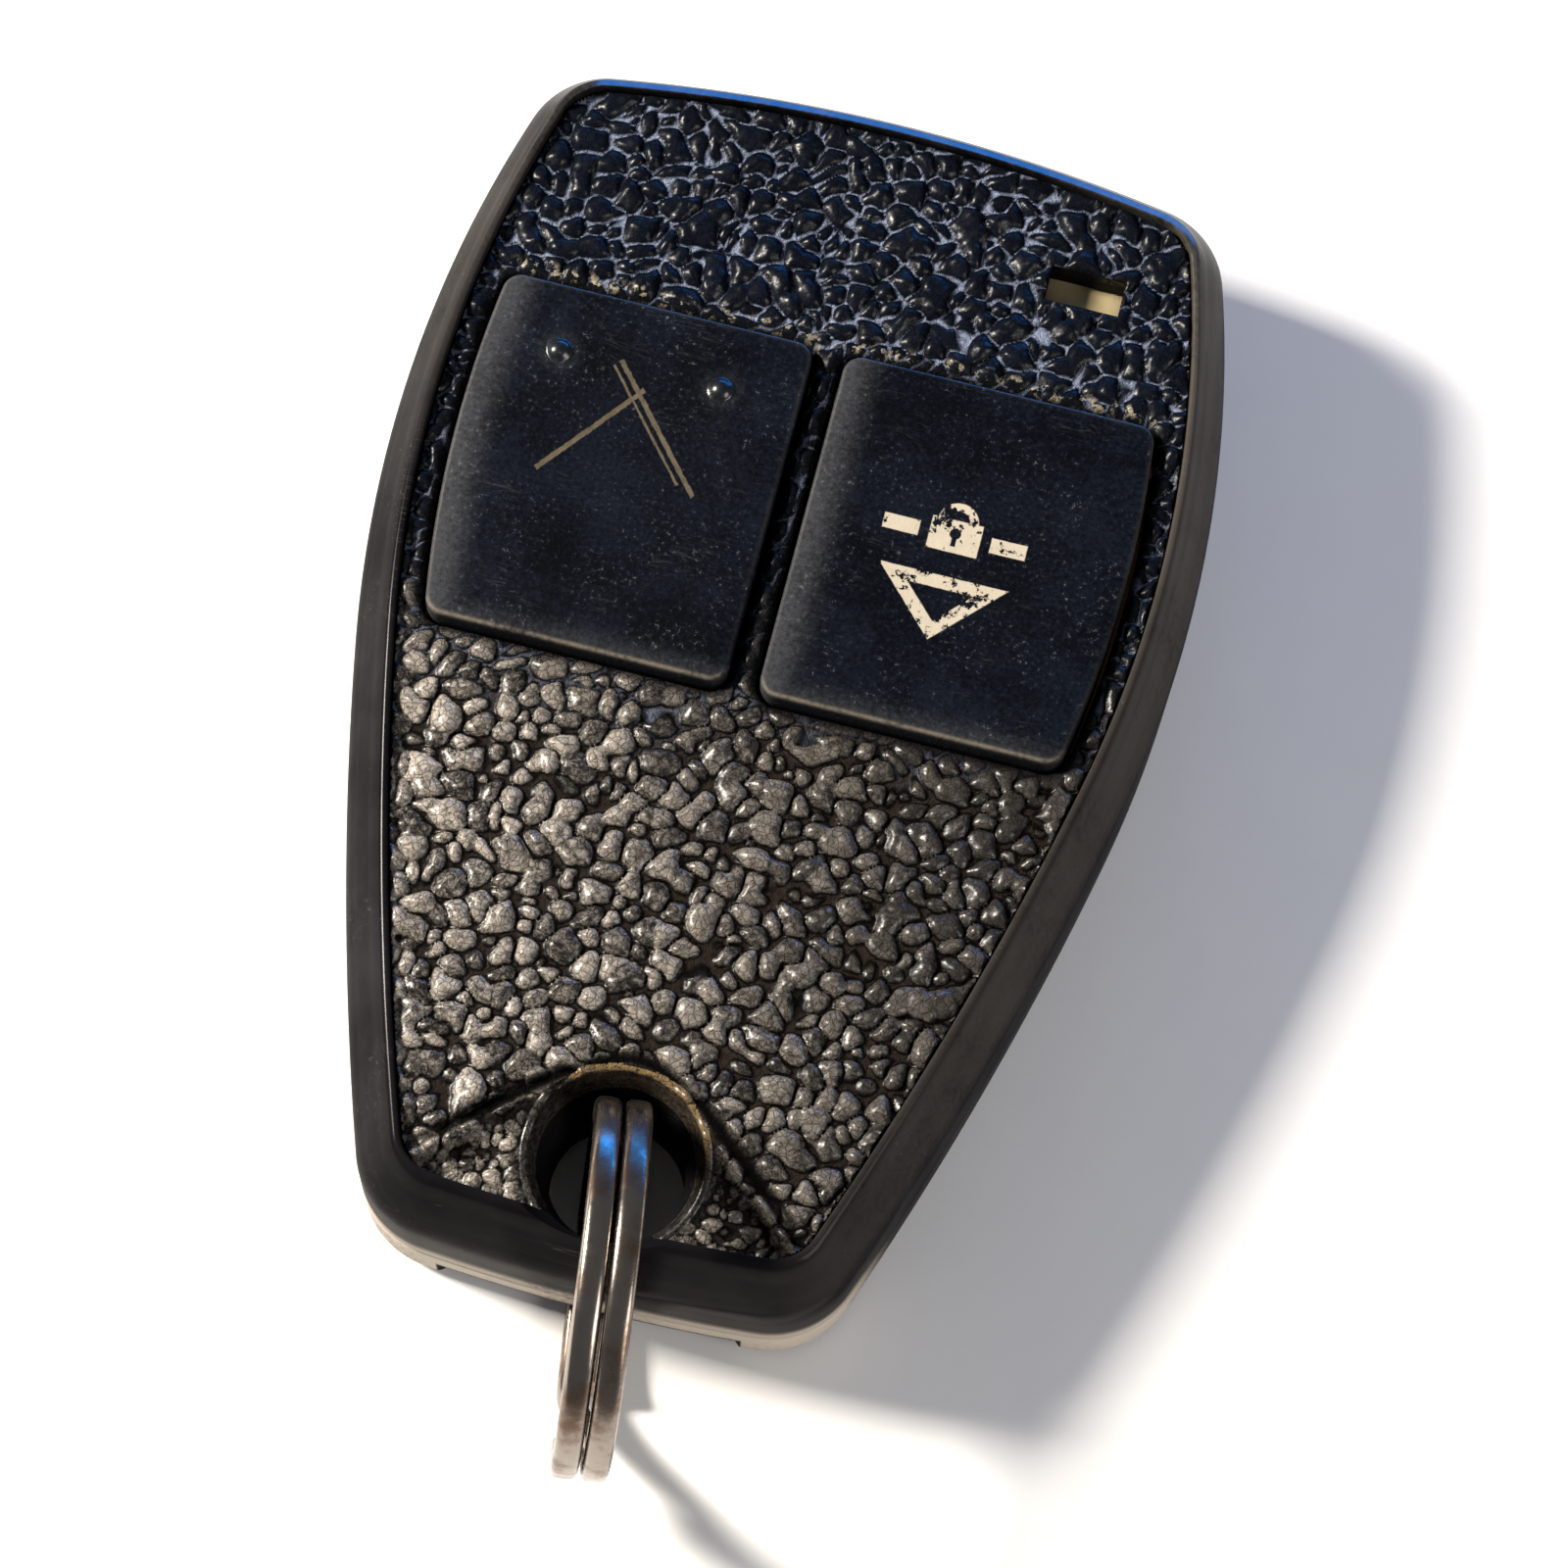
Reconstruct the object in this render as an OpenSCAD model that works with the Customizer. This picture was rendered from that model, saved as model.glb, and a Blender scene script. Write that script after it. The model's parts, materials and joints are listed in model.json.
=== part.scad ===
// Two-button car key fob with a grained face, on a split ring.
// Millimetres. The flat back lies on z = 0, +Y points to the wide end and +Z out of the face.

/* [Case] */
// Length of the case
case_l = 65.7; // [62:0.1:72]
// Greatest width of the case
case_w = 43.4; // [41:0.1:48]
// Height of the grained face above the flat back
face_z = 12; // [11.6:0.1:14]
// Distance from the wide end to the widest station
widest_from_top = 22.6; // [20:0.1:26]
// Radius of the wide end's edge
top_r = 91; // [70:1:130]
// Radius of the two corners at the wide end
top_corner_r = 4.7; // [3.2:0.1:6.5]
// Radius of the bulging sides
side_r = 65; // [58:1:80]
// Radius of the sides where they taper to the ring end
taper_r = 190; // [160:1:240]
// Distance from the widest station to where the taper starts
taper_drop = 13; // [10:0.1:16]
// Radius of the two corners at the ring end
end_corner_r = 4.8; // [3.6:0.1:6]
// Radius of the ring end's edge
end_r = 100; // [70:1:160]
// Height of the joint between upper case and rear cover
joint_z = 4; // [3.6:0.1:4.4]
// Height at which the side wall turns into the bevel
bevel_z = 9; // [8.2:0.1:9.6]
// Height of the rim's crest above the grained face
crest_h = 0.25; // [0.1:0.05:0.5]
// Width of the rim's crest
crest_w = 0.3; // [0.2:0.05:0.5]
// Width of the rim at the wide end
rim_w = 2.05; // [1.8:0.05:2.5]
// Width of the rim at the ring end
rim_end_w = 2.45; // [2.1:0.05:2.8]
// Thickness of the side wall
wall_t = 1.6; // [1.3:0.1:1.9]
// Thickness of the rear cover's floor
floor_t = 1.4; // [1.2:0.1:1.8]
// Height of the rounding between the back and the side wall
back_round = 1.2; // [1:0.1:2.4]
// Width of that rounding on the flat back
back_inset = 1; // [0.8:0.1:2]
// Thickness of the lip that centres the upper case on the rear cover
lip_t = 0.9; // [0.7:0.1:1.1]
// Height of that lip above the joint
lip_h = 1.2; // [0.8:0.1:1.6]

/* [Face panel] */
// Thickness of the grained panel
panel_t = 1; // [0.8:0.1:1.2]
// Thickness of the deck that carries the panel
deck_t = 1; // [0.8:0.1:1.2]
// Gap between the panel and the rim
panel_gap = 0.1; // [0.05:0.05:0.2]

/* [Key-ring eye] */
// Distance from the ring end to the centre of the bore
bore_from_end = 6.1; // [5.8:0.1:7]
// Radius of the bore at its throat
bore_r = 3.5; // [3.3:0.1:3.8]
// Radius of the bore at the top of its flare
flare_r = 4.65; // [4.5:0.05:5.2]
// Height at which the flare starts
flare_z = 6.5; // [6:0.1:6.8]
// Depth of the flare's mouth below the grained face
flare_top = 0.5; // [0.3:0.1:0.8]
// Distance from the bore's centre to the tip of the bell-shaped scoop
scoop_tip = 4.7; // [4.4:0.1:5.4]
// Radius of the scoop's rounded tip
scoop_nose_r = 2.7; // [2:0.1:3.4]
// Spread of the scoop's sides, as width gained per length
scoop_spread = 1.06; // [0.8:0.02:1.1]
// Depth of the scoop at its tip
scoop_step = 0.25; // [0.15:0.05:0.5]
// Depth of the scoop at the ring end
scoop_depth = 1.4; // [1:0.1:1.6]
// Thickness of the panel's collar below the scoop
collar_t = 1.2; // [0.9:0.1:1.4]
// Thickness of the wall between the eye and the inside
bulkhead_t = 1.9; // [1.5:0.1:2.4]
// Height of the relief under the eye, where the ring passes
relief_h = 2.4; // [2.3:0.1:2.6]
// Half width of that relief at the bore
relief_w = 3.2; // [2.8:0.1:3.8]

/* [Split ring] */
// Outer diameter of the ring
ring_od = 19.1; // [19:0.1:19.4]
// Width of the wire along the ring's axis
wire_w = 1.4; // [1.2:0.05:1.45]
// Thickness of the wire across the ring
wire_t = 1.4; // [1.2:0.05:1.45]
// Corner break of the wire
wire_corner = 0.3; // [0.2:0.05:0.45]
// Gap between the two turns
turn_gap = 0.12; // [0.08:0.02:0.2]
// Angle over which the wire crosses from one turn to the other
cross_angle = 30; // [24:1:40]
// Place of that crossing round the ring, from the outermost point up
cross_place = -50; // [-70:1:-30]
// Angle of the ring to the case's axis at rest
ring_rest = 8.2; // [0:0.1:12]
// Lean of the ring from upright at rest, its top towards the right side
ring_lean = 3.4; // [0:0.1:4]
// Greatest swing of the ring to either side of the case's axis
ring_swing = 40; // [30:1:45]
// Distance from the bore's axis to the ring's centre
ring_reach = 6.4; // [6.1:0.05:6.5]
// Height of the ring's lowest point at rest
ring_lift = 0.05; // [0:0.05:0.1]

/* [Keys] */
// Distance from the wide end to the keys' upper edge
key_from_top = 15.1; // [14:0.1:16]
// Length of a key
key_l = 19.4; // [17:0.1:21]
// Distance between the two keys
key_split = 1.7; // [1.5:0.1:2.4]
// Distance from the case's edge to a key's curved side
key_margin = 3.75; // [3.5:0.05:4.5]
// Corner radius of a key
key_corner_r = 1; // [0.8:0.1:1.6]
// Height of the keys above the grained face
key_raise = 0.6; // [0.45:0.05:0.9]
// Break of a key's upper edge
key_break = 0.3; // [0.2:0.05:0.4]
// Depth of the finger dish in a key
key_dish = 0.25; // [0.1:0.05:0.35]
// Radius of the finger dish on the key's face
key_dish_r = 8; // [6:0.1:8.3]
// Wall thickness of a key
key_wall = 1.1; // [0.9:0.1:1.3]
// Gap round a key in its opening
key_gap = 0.2; // [0.15:0.05:0.3]
// Travel of a key
key_travel = 0.4; // [0.3:0.05:0.45]
// Thickness of the tabs that hold a key under the deck
tab_t = 0.8; // [0.6:0.1:0.9]
// Reach of those tabs past the key
tab_reach = 0.8; // [0.6:0.1:1]
// Width of a tab
tab_w = 8; // [6:0.5:9]
// Radius of the stub that pushes the switch
stub_r = 1.9; // [1.5:0.1:2.2]
// Radius of a raised pip
pip_r = 0.75; // [0.6:0.05:0.9]
// Height of a pip above the key
pip_h = 0.3; // [0.2:0.05:0.4]
// Distance from a key's upper edge to its pips
pip_from_top = 3.75; // [3:0.05:4.5]
// Distance from the key's centre to each pip
pip_spread = 4.35; // [3.5:0.05:5]

/* [Lamp] */
// Width of the lamp window
lamp_w = 4; // [3.6:0.1:4.4]
// Height of the lamp window on the face
lamp_l = 2; // [1.8:0.1:2.4]
// Distance of the lamp's centre from the case's widest point
lamp_from_side = 9.6; // [9.2:0.1:10.6]
// Distance of the lamp from the wide end
lamp_from_top = 8.15; // [7.6:0.05:9]
// Depth of the lens below the face
lamp_sink = 2.2; // [2:0.05:2.5]
// Gap round the lens
lamp_gap = 0.08; // [0.05:0.01:0.15]
// Thickness of the lamp's flange
lamp_flange_t = 0.8; // [0.6:0.1:1]
// Width of the lamp's flange past the lens
lamp_flange = 0.5; // [0.3:0.1:0.6]
// Height of the lamp's flange above the board
lamp_stand = 1; // [0.6:0.1:1.4]
// Distance between the lamp's leads
lead_pitch = 2.54; // [2:0.02:2.6]
// Thickness of a lead
lead_t = 0.5; // [0.4:0.05:0.6]
// Length of the leads below the board
lead_tail = 0.6; // [0.4:0.1:0.8]

/* [Electronics] */
// Thickness of the circuit board
board_t = 1; // [0.8:0.1:1.2]
// Gap between the board and the lip round it
board_gap = 0.3; // [0.2:0.05:0.5]
// Thickness of the copper loop
loop_t = 0.1; // [0.08:0.01:0.15]
// Width of the copper loop
loop_w = 1; // [0.6:0.1:1.2]
// Distance of the loop from the board's edge
loop_edge = 0.4; // [0.3:0.1:0.6]
// Diameter of the coin cell
cell_d = 20; // [16:0.1:20]
// Thickness of the coin cell
cell_t = 2.5; // [2:0.1:2.6]
// Height of the pad under the cell
cell_pad = 0.2; // [0.1:0.05:0.3]
// Room between the cell and the board
cell_room = 0.6; // [0.5:0.05:0.7]
// Thickness of the cell contacts
contact_t = 0.3; // [0.2:0.05:0.3]
// Width of the cell contacts
contact_w = 4; // [3:0.1:5]
// Thickness of the cradle round the cell
cradle_t = 1; // [0.8:0.1:1.2]
// Side of a switch
switch_w = 6; // [5:0.1:6.4]
// Height of a switch without its plunger
switch_h = 2.3; // [2.2:0.05:2.4]
// Thickness of a switch's lid
lid_t = 0.3; // [0.2:0.05:0.35]
// Radius of a switch's plunger
plunger_r = 1.7; // [1.4:0.05:1.8]
// Height of the plunger above the lid
plunger_h = 0.7; // [0.55:0.05:0.8]
// Width of the flange that keeps the plunger under the lid
plunger_flange = 0.5; // [0.4:0.05:0.7]
// Thickness of a switch's floor
switch_floor = 0.5; // [0.4:0.05:0.6]
// Height that is left of the snap dome when it is pressed
dome_spare = 0.15; // [0.1:0.01:0.2]
// Length of the encoder chip
chip_l = 8.7; // [8:0.1:9]
// Width of the encoder chip
chip_w = 3.9; // [3.6:0.1:4.2]
// Height of the encoder chip
chip_h = 1.5; // [1.2:0.1:1.7]
// Distance from the board's lower edge to the encoder chip
chip_from_edge = 11; // [10.4:0.1:11.4]
// Radius of the resonator can
can_r = 3.4; // [2.8:0.1:3.6]
// Height of the resonator can
can_h = 2.8; // [2.2:0.1:3.2]
// Side of the trimmer
trimmer_w = 4.4; // [3.6:0.1:4.6]
// Height of the trimmer's body
trimmer_h = 1.5; // [1.2:0.1:1.8]
// Thickness of the trimmer's wall round its rotor
trimmer_wall = 0.6; // [0.4:0.05:0.8]
// Height of the rotor above the trimmer
rotor_rise = 0.3; // [0.2:0.05:0.5]
// Distance of the resonator can and the trimmer from the case's axis
tuning_x = 7.2; // [6.8:0.1:7.4]
// Distance from the board's lower edge to the can and the trimmer
tuning_from_edge = 4.6; // [4.4:0.1:4.8]
// Distance from the board's lower edge to the transistor
transistor_from_edge = 3.4; // [2.6:0.1:4.6]
// Length of a chip resistor or capacitor
chip_part_l = 2; // [1.6:0.1:2.2]
// Width of a chip resistor or capacitor
chip_part_w = 1.25; // [0.8:0.05:1.3]
// Height of a chip resistor or capacitor
chip_part_h = 0.55; // [0.4:0.05:0.7]
// Distance between neighbouring chip resistors
resistor_pitch = 3.4; // [3:0.1:3.6]
// Distance from the encoder chip to the row of resistors
resistor_row = 5; // [4.6:0.1:5.4]
// Distance from the encoder chip's end to the capacitors
capacitor_gap = 2; // [1:0.1:2.6]
// Distance between the two capacitors of a side
capacitor_pitch = 3; // [2:0.1:3.4]

/* [Screw and posts] */
// Distance from the wide end to the case screw
screw_from_top = 7.6; // [7.2:0.1:8]
// Radius of the screw's shank
screw_r = 1.1; // [0.9:0.05:1.2]
// Radius of the screw's head
head_r = 2; // [1.8:0.05:2.1]
// Thickness of the screw's head
head_t = 1.2; // [1:0.1:1.4]
// Depth of the head below the flat back
head_sink = 0.3; // [0.2:0.1:0.5]
// Depth of the screw in its boss
screw_grip = 2.6; // [2:0.1:3]
// Radius of the screw bosses
boss_r = 2.7; // [2.5:0.1:2.9]
// Distance of the board posts from the case's widest line
post_from_side = 8.7; // [8.2:0.1:9.4]
// Distance from the keys' upper edge to the upper board posts
post_from_key = 3.4; // [3.2:0.1:3.5]
// Distance from the board's lower edge to the lower board posts
post_from_edge = 12.5; // [11:0.1:13]
// Radius of a board post
post_r = 1.6; // [1.4:0.1:1.7]
// Radius of the pin on a post
pin_r = 0.65; // [0.5:0.05:0.7]
// Height of the pin above the board
pin_h = 0.5; // [0.3:0.1:0.7]

/* [Clearances] */
// Gap between the lip and the upper case
lip_gap = 0.12; // [0.08:0.01:0.2]
// Gap between touching parts that are assembled loose
seat_gap = 0.05; // [0.02:0.01:0.06]
// Gap round pins, screws and leads
hole_gap = 0.1; // [0.05:0.01:0.2]
// Gap between the board and the bulkhead
bulkhead_gap = 0.5; // [0.3:0.05:0.8]

/* [Hidden] */
$fn = 64;
LEFT = -1;
RIGHT = 1;
cut = 1;
wide = 2 * case_w;

// Outline of the case: tangent arcs from the middle of the wide end, down the right side
top_y = case_l / 2;
end_y = -case_l / 2;
top_c = [0, top_y - top_r];
side_c = [case_w / 2 - side_r, top_y - widest_from_top];
taper_a = -asin(taper_drop / side_r);
taper_c = side_c + (side_r - taper_r) * unit(taper_a);
end_c = [0, end_y + end_r];
top_corner_c = meet(top_c, top_r - top_corner_r, side_c, side_r - top_corner_r, LEFT);
end_corner_c = meet(end_c, end_r - end_corner_r, taper_c, taper_r - end_corner_r, RIGHT);
case_arcs = [
    [top_c, top_r, 90, angle_of(top_corner_c - top_c), 6],
    [top_corner_c, top_corner_r, angle_of(top_corner_c - top_c), angle_of(top_corner_c - side_c), 6],
    [side_c, side_r, angle_of(top_corner_c - side_c), taper_a, 8],
    [taper_c, taper_r, taper_a, angle_of(end_corner_c - taper_c), 5],
    [end_corner_c, end_corner_r, angle_of(end_corner_c - taper_c), angle_of(end_corner_c - end_c), 6],
    [end_c, end_r, angle_of(end_corner_c - end_c), -90, 4]
];

// Insets of the outline, at the wide end and at the ring end
rim = [rim_w, rim_end_w];
crest = rim - even(crest_w);
lip_out = even(wall_t + lip_gap);
lip_in = even(wall_t + lip_gap + lip_t);
board_d = lip_in + even(board_gap);

// Heights, from the flat back up
crest_z = face_z + crest_h;
panel_z = face_z - panel_t;
deck_z = panel_z - deck_t;
collar_z = face_z - scoop_depth - collar_t;
flare_top_z = face_z - flare_top;
cell_z = floor_t + cell_pad;
board_z = cell_z + cell_t + cell_room;
board_top = board_z + board_t;
dome_z = board_top + switch_floor;
dome_h = key_travel + dome_spare;
lid_z = board_top + switch_h - lid_t;
plunger_z = lid_z + lid_t + plunger_h;
key_top_z = face_z + key_raise;
key_bottom_z = deck_z - seat_gap - tab_t;
lens_z = face_z - lamp_sink;
ring_z = ring_od / 2 * cos(ring_lean) + (wire_w + turn_gap / 2) * sin(ring_lean) + ring_lift;

// Stations along the case
bore_y = end_y + bore_from_end;
scoop_y = bore_y + scoop_tip;
collar_y = scoop_y + collar_t;
bulkhead_y = collar_y + bulkhead_t;
board_y = bulkhead_y + bulkhead_gap;
key_top_y = top_y - key_from_top;
key_c = [(key_split / 2 + side_c[0] + side_r - key_margin) / 2, key_top_y - key_l / 2];
lamp_c = [case_w / 2 - lamp_from_side, top_y - lamp_from_top];
screw_y = top_y - screw_from_top;
post_x = case_w / 2 - post_from_side;
post_rows = [key_top_y + post_from_key, board_y + post_from_edge];
posts = [for (y = post_rows) for (s = [LEFT, RIGHT]) [s * post_x, y]];
chip_c = [0, board_y + chip_from_edge];
can_c = [tuning_x, board_y + tuning_from_edge];
trimmer_c = [-tuning_x, board_y + tuning_from_edge];

// Round and boxed pieces
cell_r = cell_d / 2;
well_r = plunger_r + plunger_flange + hole_gap;
rotor_r = trimmer_w / 2 - trimmer_wall;
chip_part = [chip_part_l, chip_part_w, chip_part_h];

function unit(a) = [cos(a), sin(a)];
function angle_of(v) = atan2(v[1], v[0]);
function even(d) = [d, d];

// One of the two points where two circles meet
function meet(c0, r0, c1, r1, side) =
    let (v = c1 - c0, d = norm(v), a = (r0 * r0 - r1 * r1 + d * d) / (2 * d))
    c0 + (a * v + side * sqrt(r0 * r0 - a * a) * [-v[1], v[0]]) / d;

// Point i of an arc [centre, radius, start, end, steps]
function on_arc(arc, i) = arc[0] + arc[1] * unit(arc[2] + (arc[3] - arc[2]) * i / arc[4]);
function arc_points(arcs) = [for (a = arcs) for (i = [0:a[4] - 1]) on_arc(a, i)];

// Outline of the case, moved in by d[0] at the wide end and d[1] at the ring end
function inset_at(y, d) = d[0] + (d[1] - d[0]) * (top_y - y) / case_l;
function moved_in(p, c, d) = p - inset_at(p[1], d) * (p - c) / norm(p - c);
function right_half(d) = concat(
    [for (a = case_arcs) for (i = [0:a[4] - 1]) moved_in(on_arc(a, i), a[0], d)],
    [[0, end_y + d[1]]]
);
function mirrored(half) = [for (i = [len(half) - 2:-1:1]) [-half[i][0], half[i][1]]];
function case_outline(d) = concat(right_half(d), mirrored(right_half(d)));

// Outline of the right key, moved in by d
function key_outline(d) =
    let (
        r = max(key_corner_r - d, key_break),
        side = side_r - key_margin - d,
        x_in = key_split / 2 + d + r,
        y_hi = key_top_y - d - r,
        y_lo = key_top_y - key_l + d + r,
        hi = [side_c[0] + sqrt(pow(side - r, 2) - pow(y_hi - side_c[1], 2)), y_hi],
        lo = [side_c[0] + sqrt(pow(side - r, 2) - pow(y_lo - side_c[1], 2)), y_lo],
        a_hi = angle_of(hi - side_c),
        a_lo = angle_of(lo - side_c)
    )
    concat(arc_points([
        [[x_in, y_hi], r, 180, 90, 4],
        [hi, r, 90, a_hi, 4],
        [side_c, side, a_hi, a_lo, 8],
        [lo, r, a_lo, -90, 4],
        [[x_in, y_lo], r, -90, -180, 4]
    ]), [[x_in - r, y_lo]]);

// Half width of the scoop at a distance s below its tip: a hyperbola
function scoop_half(s) = scoop_spread * sqrt(s * s + 2 * s * scoop_nose_r);

// Solid between rings of points that all run clockwise and are stacked upwards
module loft(outlines, heights) {
    n = len(outlines[0]);
    top = len(outlines) - 1;
    sides = [for (k = [0:top - 1]) for (i = [0:n - 1]) let (j = (i + 1) % n)
        each [[k * n + i, k * n + j, (k + 1) * n + j], [k * n + i, (k + 1) * n + j, (k + 1) * n + i]]];
    polyhedron(
        points = [for (k = [0:top]) for (p = outlines[k]) [p[0], p[1], heights[k]]],
        faces = concat([[for (i = [n - 1:-1:0]) i]], sides, [[for (i = [0:n - 1]) top * n + i]])
    );
}

// Prism of an outline between two heights
module prism(outline, z0, z1) {
    translate([0, 0, z0]) linear_extrude(z1 - z0) polygon(outline);
}

// Everything on the wide-end side of y, or on the ring-end side of it
module beyond(y) {
    translate([-wide, y, -wide]) cube([2 * wide, 2 * wide, 2 * wide]);
}
module before(y) {
    translate([-wide, y - 2 * wide, -wide]) cube([2 * wide, 2 * wide, 2 * wide]);
}

// Prism of a side profile, given as [y, z] points, centred on the case's axis
module across(profile, w) {
    translate([-w / 2, 0, 0]) rotate([90, 0, 90]) linear_extrude(w) polygon(profile);
}

// Box centred on x and y, standing on z
module block(c, size, z) {
    translate([c[0] - size[0] / 2, c[1] - size[1] / 2, z]) cube(size);
}

// Upright round bar between two heights
module bar(c, r, z0, z1) {
    translate([c[0], c[1], z0]) cylinder(r = r, h = z1 - z0);
}

// Eye for the ring: straight throat with a flare at the face
module eye() {
    bar([0, bore_y], bore_r, -cut, crest_z + cut);
    translate([0, bore_y, flare_z]) cylinder(r1 = bore_r, r2 = flare_r, h = flare_top_z - flare_z);
    bar([0, bore_y], flare_r, flare_top_z, crest_z + cut);
}

// Bell-shaped scoop that falls from its tip to the ring end
module scoop() {
    steps = 9;
    reach = scoop_y - end_y;
    half = [for (i = [0:steps]) let (s = reach * pow(i / steps, 2)) [scoop_half(s), scoop_y - s]];
    intersection() {
        prism(concat(half, [for (i = [steps:-1:1]) [-half[i][0], half[i][1]]]), collar_z, crest_z + cut);
        across([
            [scoop_y + cut, crest_z + cut],
            [scoop_y + cut, face_z - scoop_step],
            [scoop_y, face_z - scoop_step],
            [end_y, face_z - scoop_depth],
            [end_y, crest_z + cut]
        ], wide);
    }
}

// Relief under the eye, spread so that the ring can swing to both sides
module ring_relief() {
    reach = bore_from_end + cut;
    spread = relief_w + reach * tan(ring_swing);
    bar([0, bore_y], bore_r + back_inset / 2, -cut, relief_h);
    prism([
        [-relief_w, bore_y], [relief_w, bore_y], [spread, bore_y - reach], [-spread, bore_y - reach]
    ], -cut, relief_h);
}

// Openings of both keys and of the lamp
module face_openings() {
    for (s = [0, 1]) mirror([s, 0, 0]) prism(key_outline(-key_gap), deck_z - cut, crest_z + cut);
    block(lamp_c, [lamp_w, lamp_l, wide], deck_z - cut);
}

module upper_case() {
    bevel_start = 0.12;
    bevel_drop = 0.5;
    color("#262220") difference() {
        union() {
            difference() {
                loft(
                    [case_outline(even(0)), case_outline(even(0)),
                        case_outline(bevel_start * crest), case_outline(crest)],
                    [joint_z, bevel_z - bevel_drop, bevel_z + bevel_start * (crest_z - bevel_z), crest_z]
                );
                intersection() {
                    prism(case_outline(even(wall_t)), joint_z - cut, deck_z);
                    beyond(bulkhead_y);
                }
                prism(case_outline(rim), panel_z, crest_z + cut);
                intersection() {
                    prism(case_outline(rim), collar_z, crest_z + cut);
                    before(collar_y + panel_gap);
                }
                face_openings();
            }
            bar([0, screw_y], boss_r, board_top + seat_gap, deck_z + deck_t / 2);
            for (p = posts) bar(p, post_r, board_top + seat_gap, deck_z + deck_t / 2);
        }
        bar([0, screw_y], screw_r + seat_gap, board_z, board_top + screw_grip + seat_gap);
        for (p = posts) bar(p, pin_r + hole_gap, board_z, board_top + pin_h + hole_gap);
        eye();
    }
}

module grained_panel() {
    edge = rim + even(panel_gap);
    color("#3a332e") difference() {
        union() {
            prism(case_outline(edge), panel_z, face_z);
            intersection() {
                prism(case_outline(edge), collar_z, face_z - panel_t / 2);
                before(collar_y);
            }
        }
        face_openings();
        scoop();
        eye();
    }
}

// Tray whose lower edge is rounded by a quarter of an ellipse
module rear_cover() {
    turns = [0, 30, 60, 90];
    color("#1f1c1b") difference() {
        union() {
            difference() {
                loft(
                    [for (a = turns) case_outline(even(back_inset * (1 - sin(a)))), case_outline(even(0))],
                    [for (a = turns) back_round * (1 - cos(a)), joint_z]
                );
                intersection() {
                    prism(case_outline(lip_in), floor_t, joint_z + cut);
                    beyond(bulkhead_y);
                }
            }
            cover_lip();
            cell_cradle();
            bar([0, screw_y], boss_r, floor_t / 2, board_z);
            for (p = posts) {
                bar(p, post_r, floor_t / 2, board_z);
                bar(p, pin_r, floor_t / 2, board_top + pin_h);
            }
        }
        bar([0, screw_y], screw_r + hole_gap, -cut, board_z + cut);
        bar([0, screw_y], head_r + hole_gap, -cut, head_sink + head_t);
        bar([0, bore_y], bore_r, -cut, joint_z + cut);
        ring_relief();
    }
}

module cover_lip() {
    difference() {
        intersection() {
            prism(case_outline(lip_out), joint_z - lip_h, joint_z + lip_h);
            beyond(bulkhead_y + lip_gap);
        }
        prism(case_outline(lip_in), joint_z - lip_h - cut, joint_z + lip_h + cut);
    }
}

// Ring of wall round the cell, open where the positive contact reaches in
module cell_cradle() {
    inner = cell_r + hole_gap;
    rise = cell_z + cell_t / 2;
    bar([0, key_c[1]], cell_r - cradle_t, floor_t / 2, cell_z);
    difference() {
        bar([0, key_c[1]], inner + cradle_t, floor_t / 2, rise);
        bar([0, key_c[1]], inner, floor_t / 4, rise + cut);
        block([0, key_c[1] - cell_r], [contact_w + 2 * hole_gap, 4 * cradle_t, rise], floor_t);
    }
}

module case_screw() {
    tip_z = board_top + screw_grip;
    slot_w = 0.6;
    slot_l = 2.4;
    color("silver") difference() {
        union() {
            bar([0, screw_y], head_r, head_sink, head_sink + head_t);
            bar([0, screw_y], screw_r, head_sink + head_t / 2, tip_z);
        }
        for (a = [0, 90]) translate([0, screw_y, head_sink - slot_w / 2]) rotate(a)
            block([0, 0], [slot_l, slot_w, head_t / 2], 0);
    }
}

// Key cap of the right side: hollow, dished, with holding tabs and a stub over the switch
module key_cap() {
    ceiling_z = key_top_z - key_wall - key_dish;
    tab_l = key_l + 2 * tab_reach;
    difference() {
        union() {
            loft(
                [key_outline(0), key_outline(0), key_outline(key_break)],
                [key_bottom_z, key_top_z - key_break, key_top_z]
            );
            block(key_c, [tab_w, tab_l, tab_t], key_bottom_z);
        }
        difference() {
            prism(key_outline(key_wall), key_bottom_z - cut, ceiling_z);
            bar(key_c, stub_r, key_bottom_z - 2 * cut, ceiling_z);
        }
        finger_dish();
    }
    bar(key_c, stub_r, plunger_z + seat_gap, ceiling_z + key_wall / 2);
}

// Shallow round dish, a parabola turned about the key's centre
module finger_dish() {
    steps = 6;
    translate([key_c[0], key_c[1], key_top_z]) rotate_extrude() polygon(concat(
        [for (i = [0:steps]) let (f = i / steps) [key_dish_r * f, key_dish * (f * f - 1)]],
        [[key_dish_r, cut], [0, cut]]
    ));
}

module lock_button() {
    color("#2b2b2d") key_cap();
}

module unlock_button() {
    pip_z = key_top_z - key_dish / 2;
    pip_y = key_top_y - pip_from_top;
    color("#2b2b2d") mirror([1, 0, 0]) {
        key_cap();
        for (s = [LEFT, RIGHT])
            translate([key_c[0] + s * pip_spread, pip_y, pip_z + pip_h - pip_r]) sphere(r = pip_r);
    }
}

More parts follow.
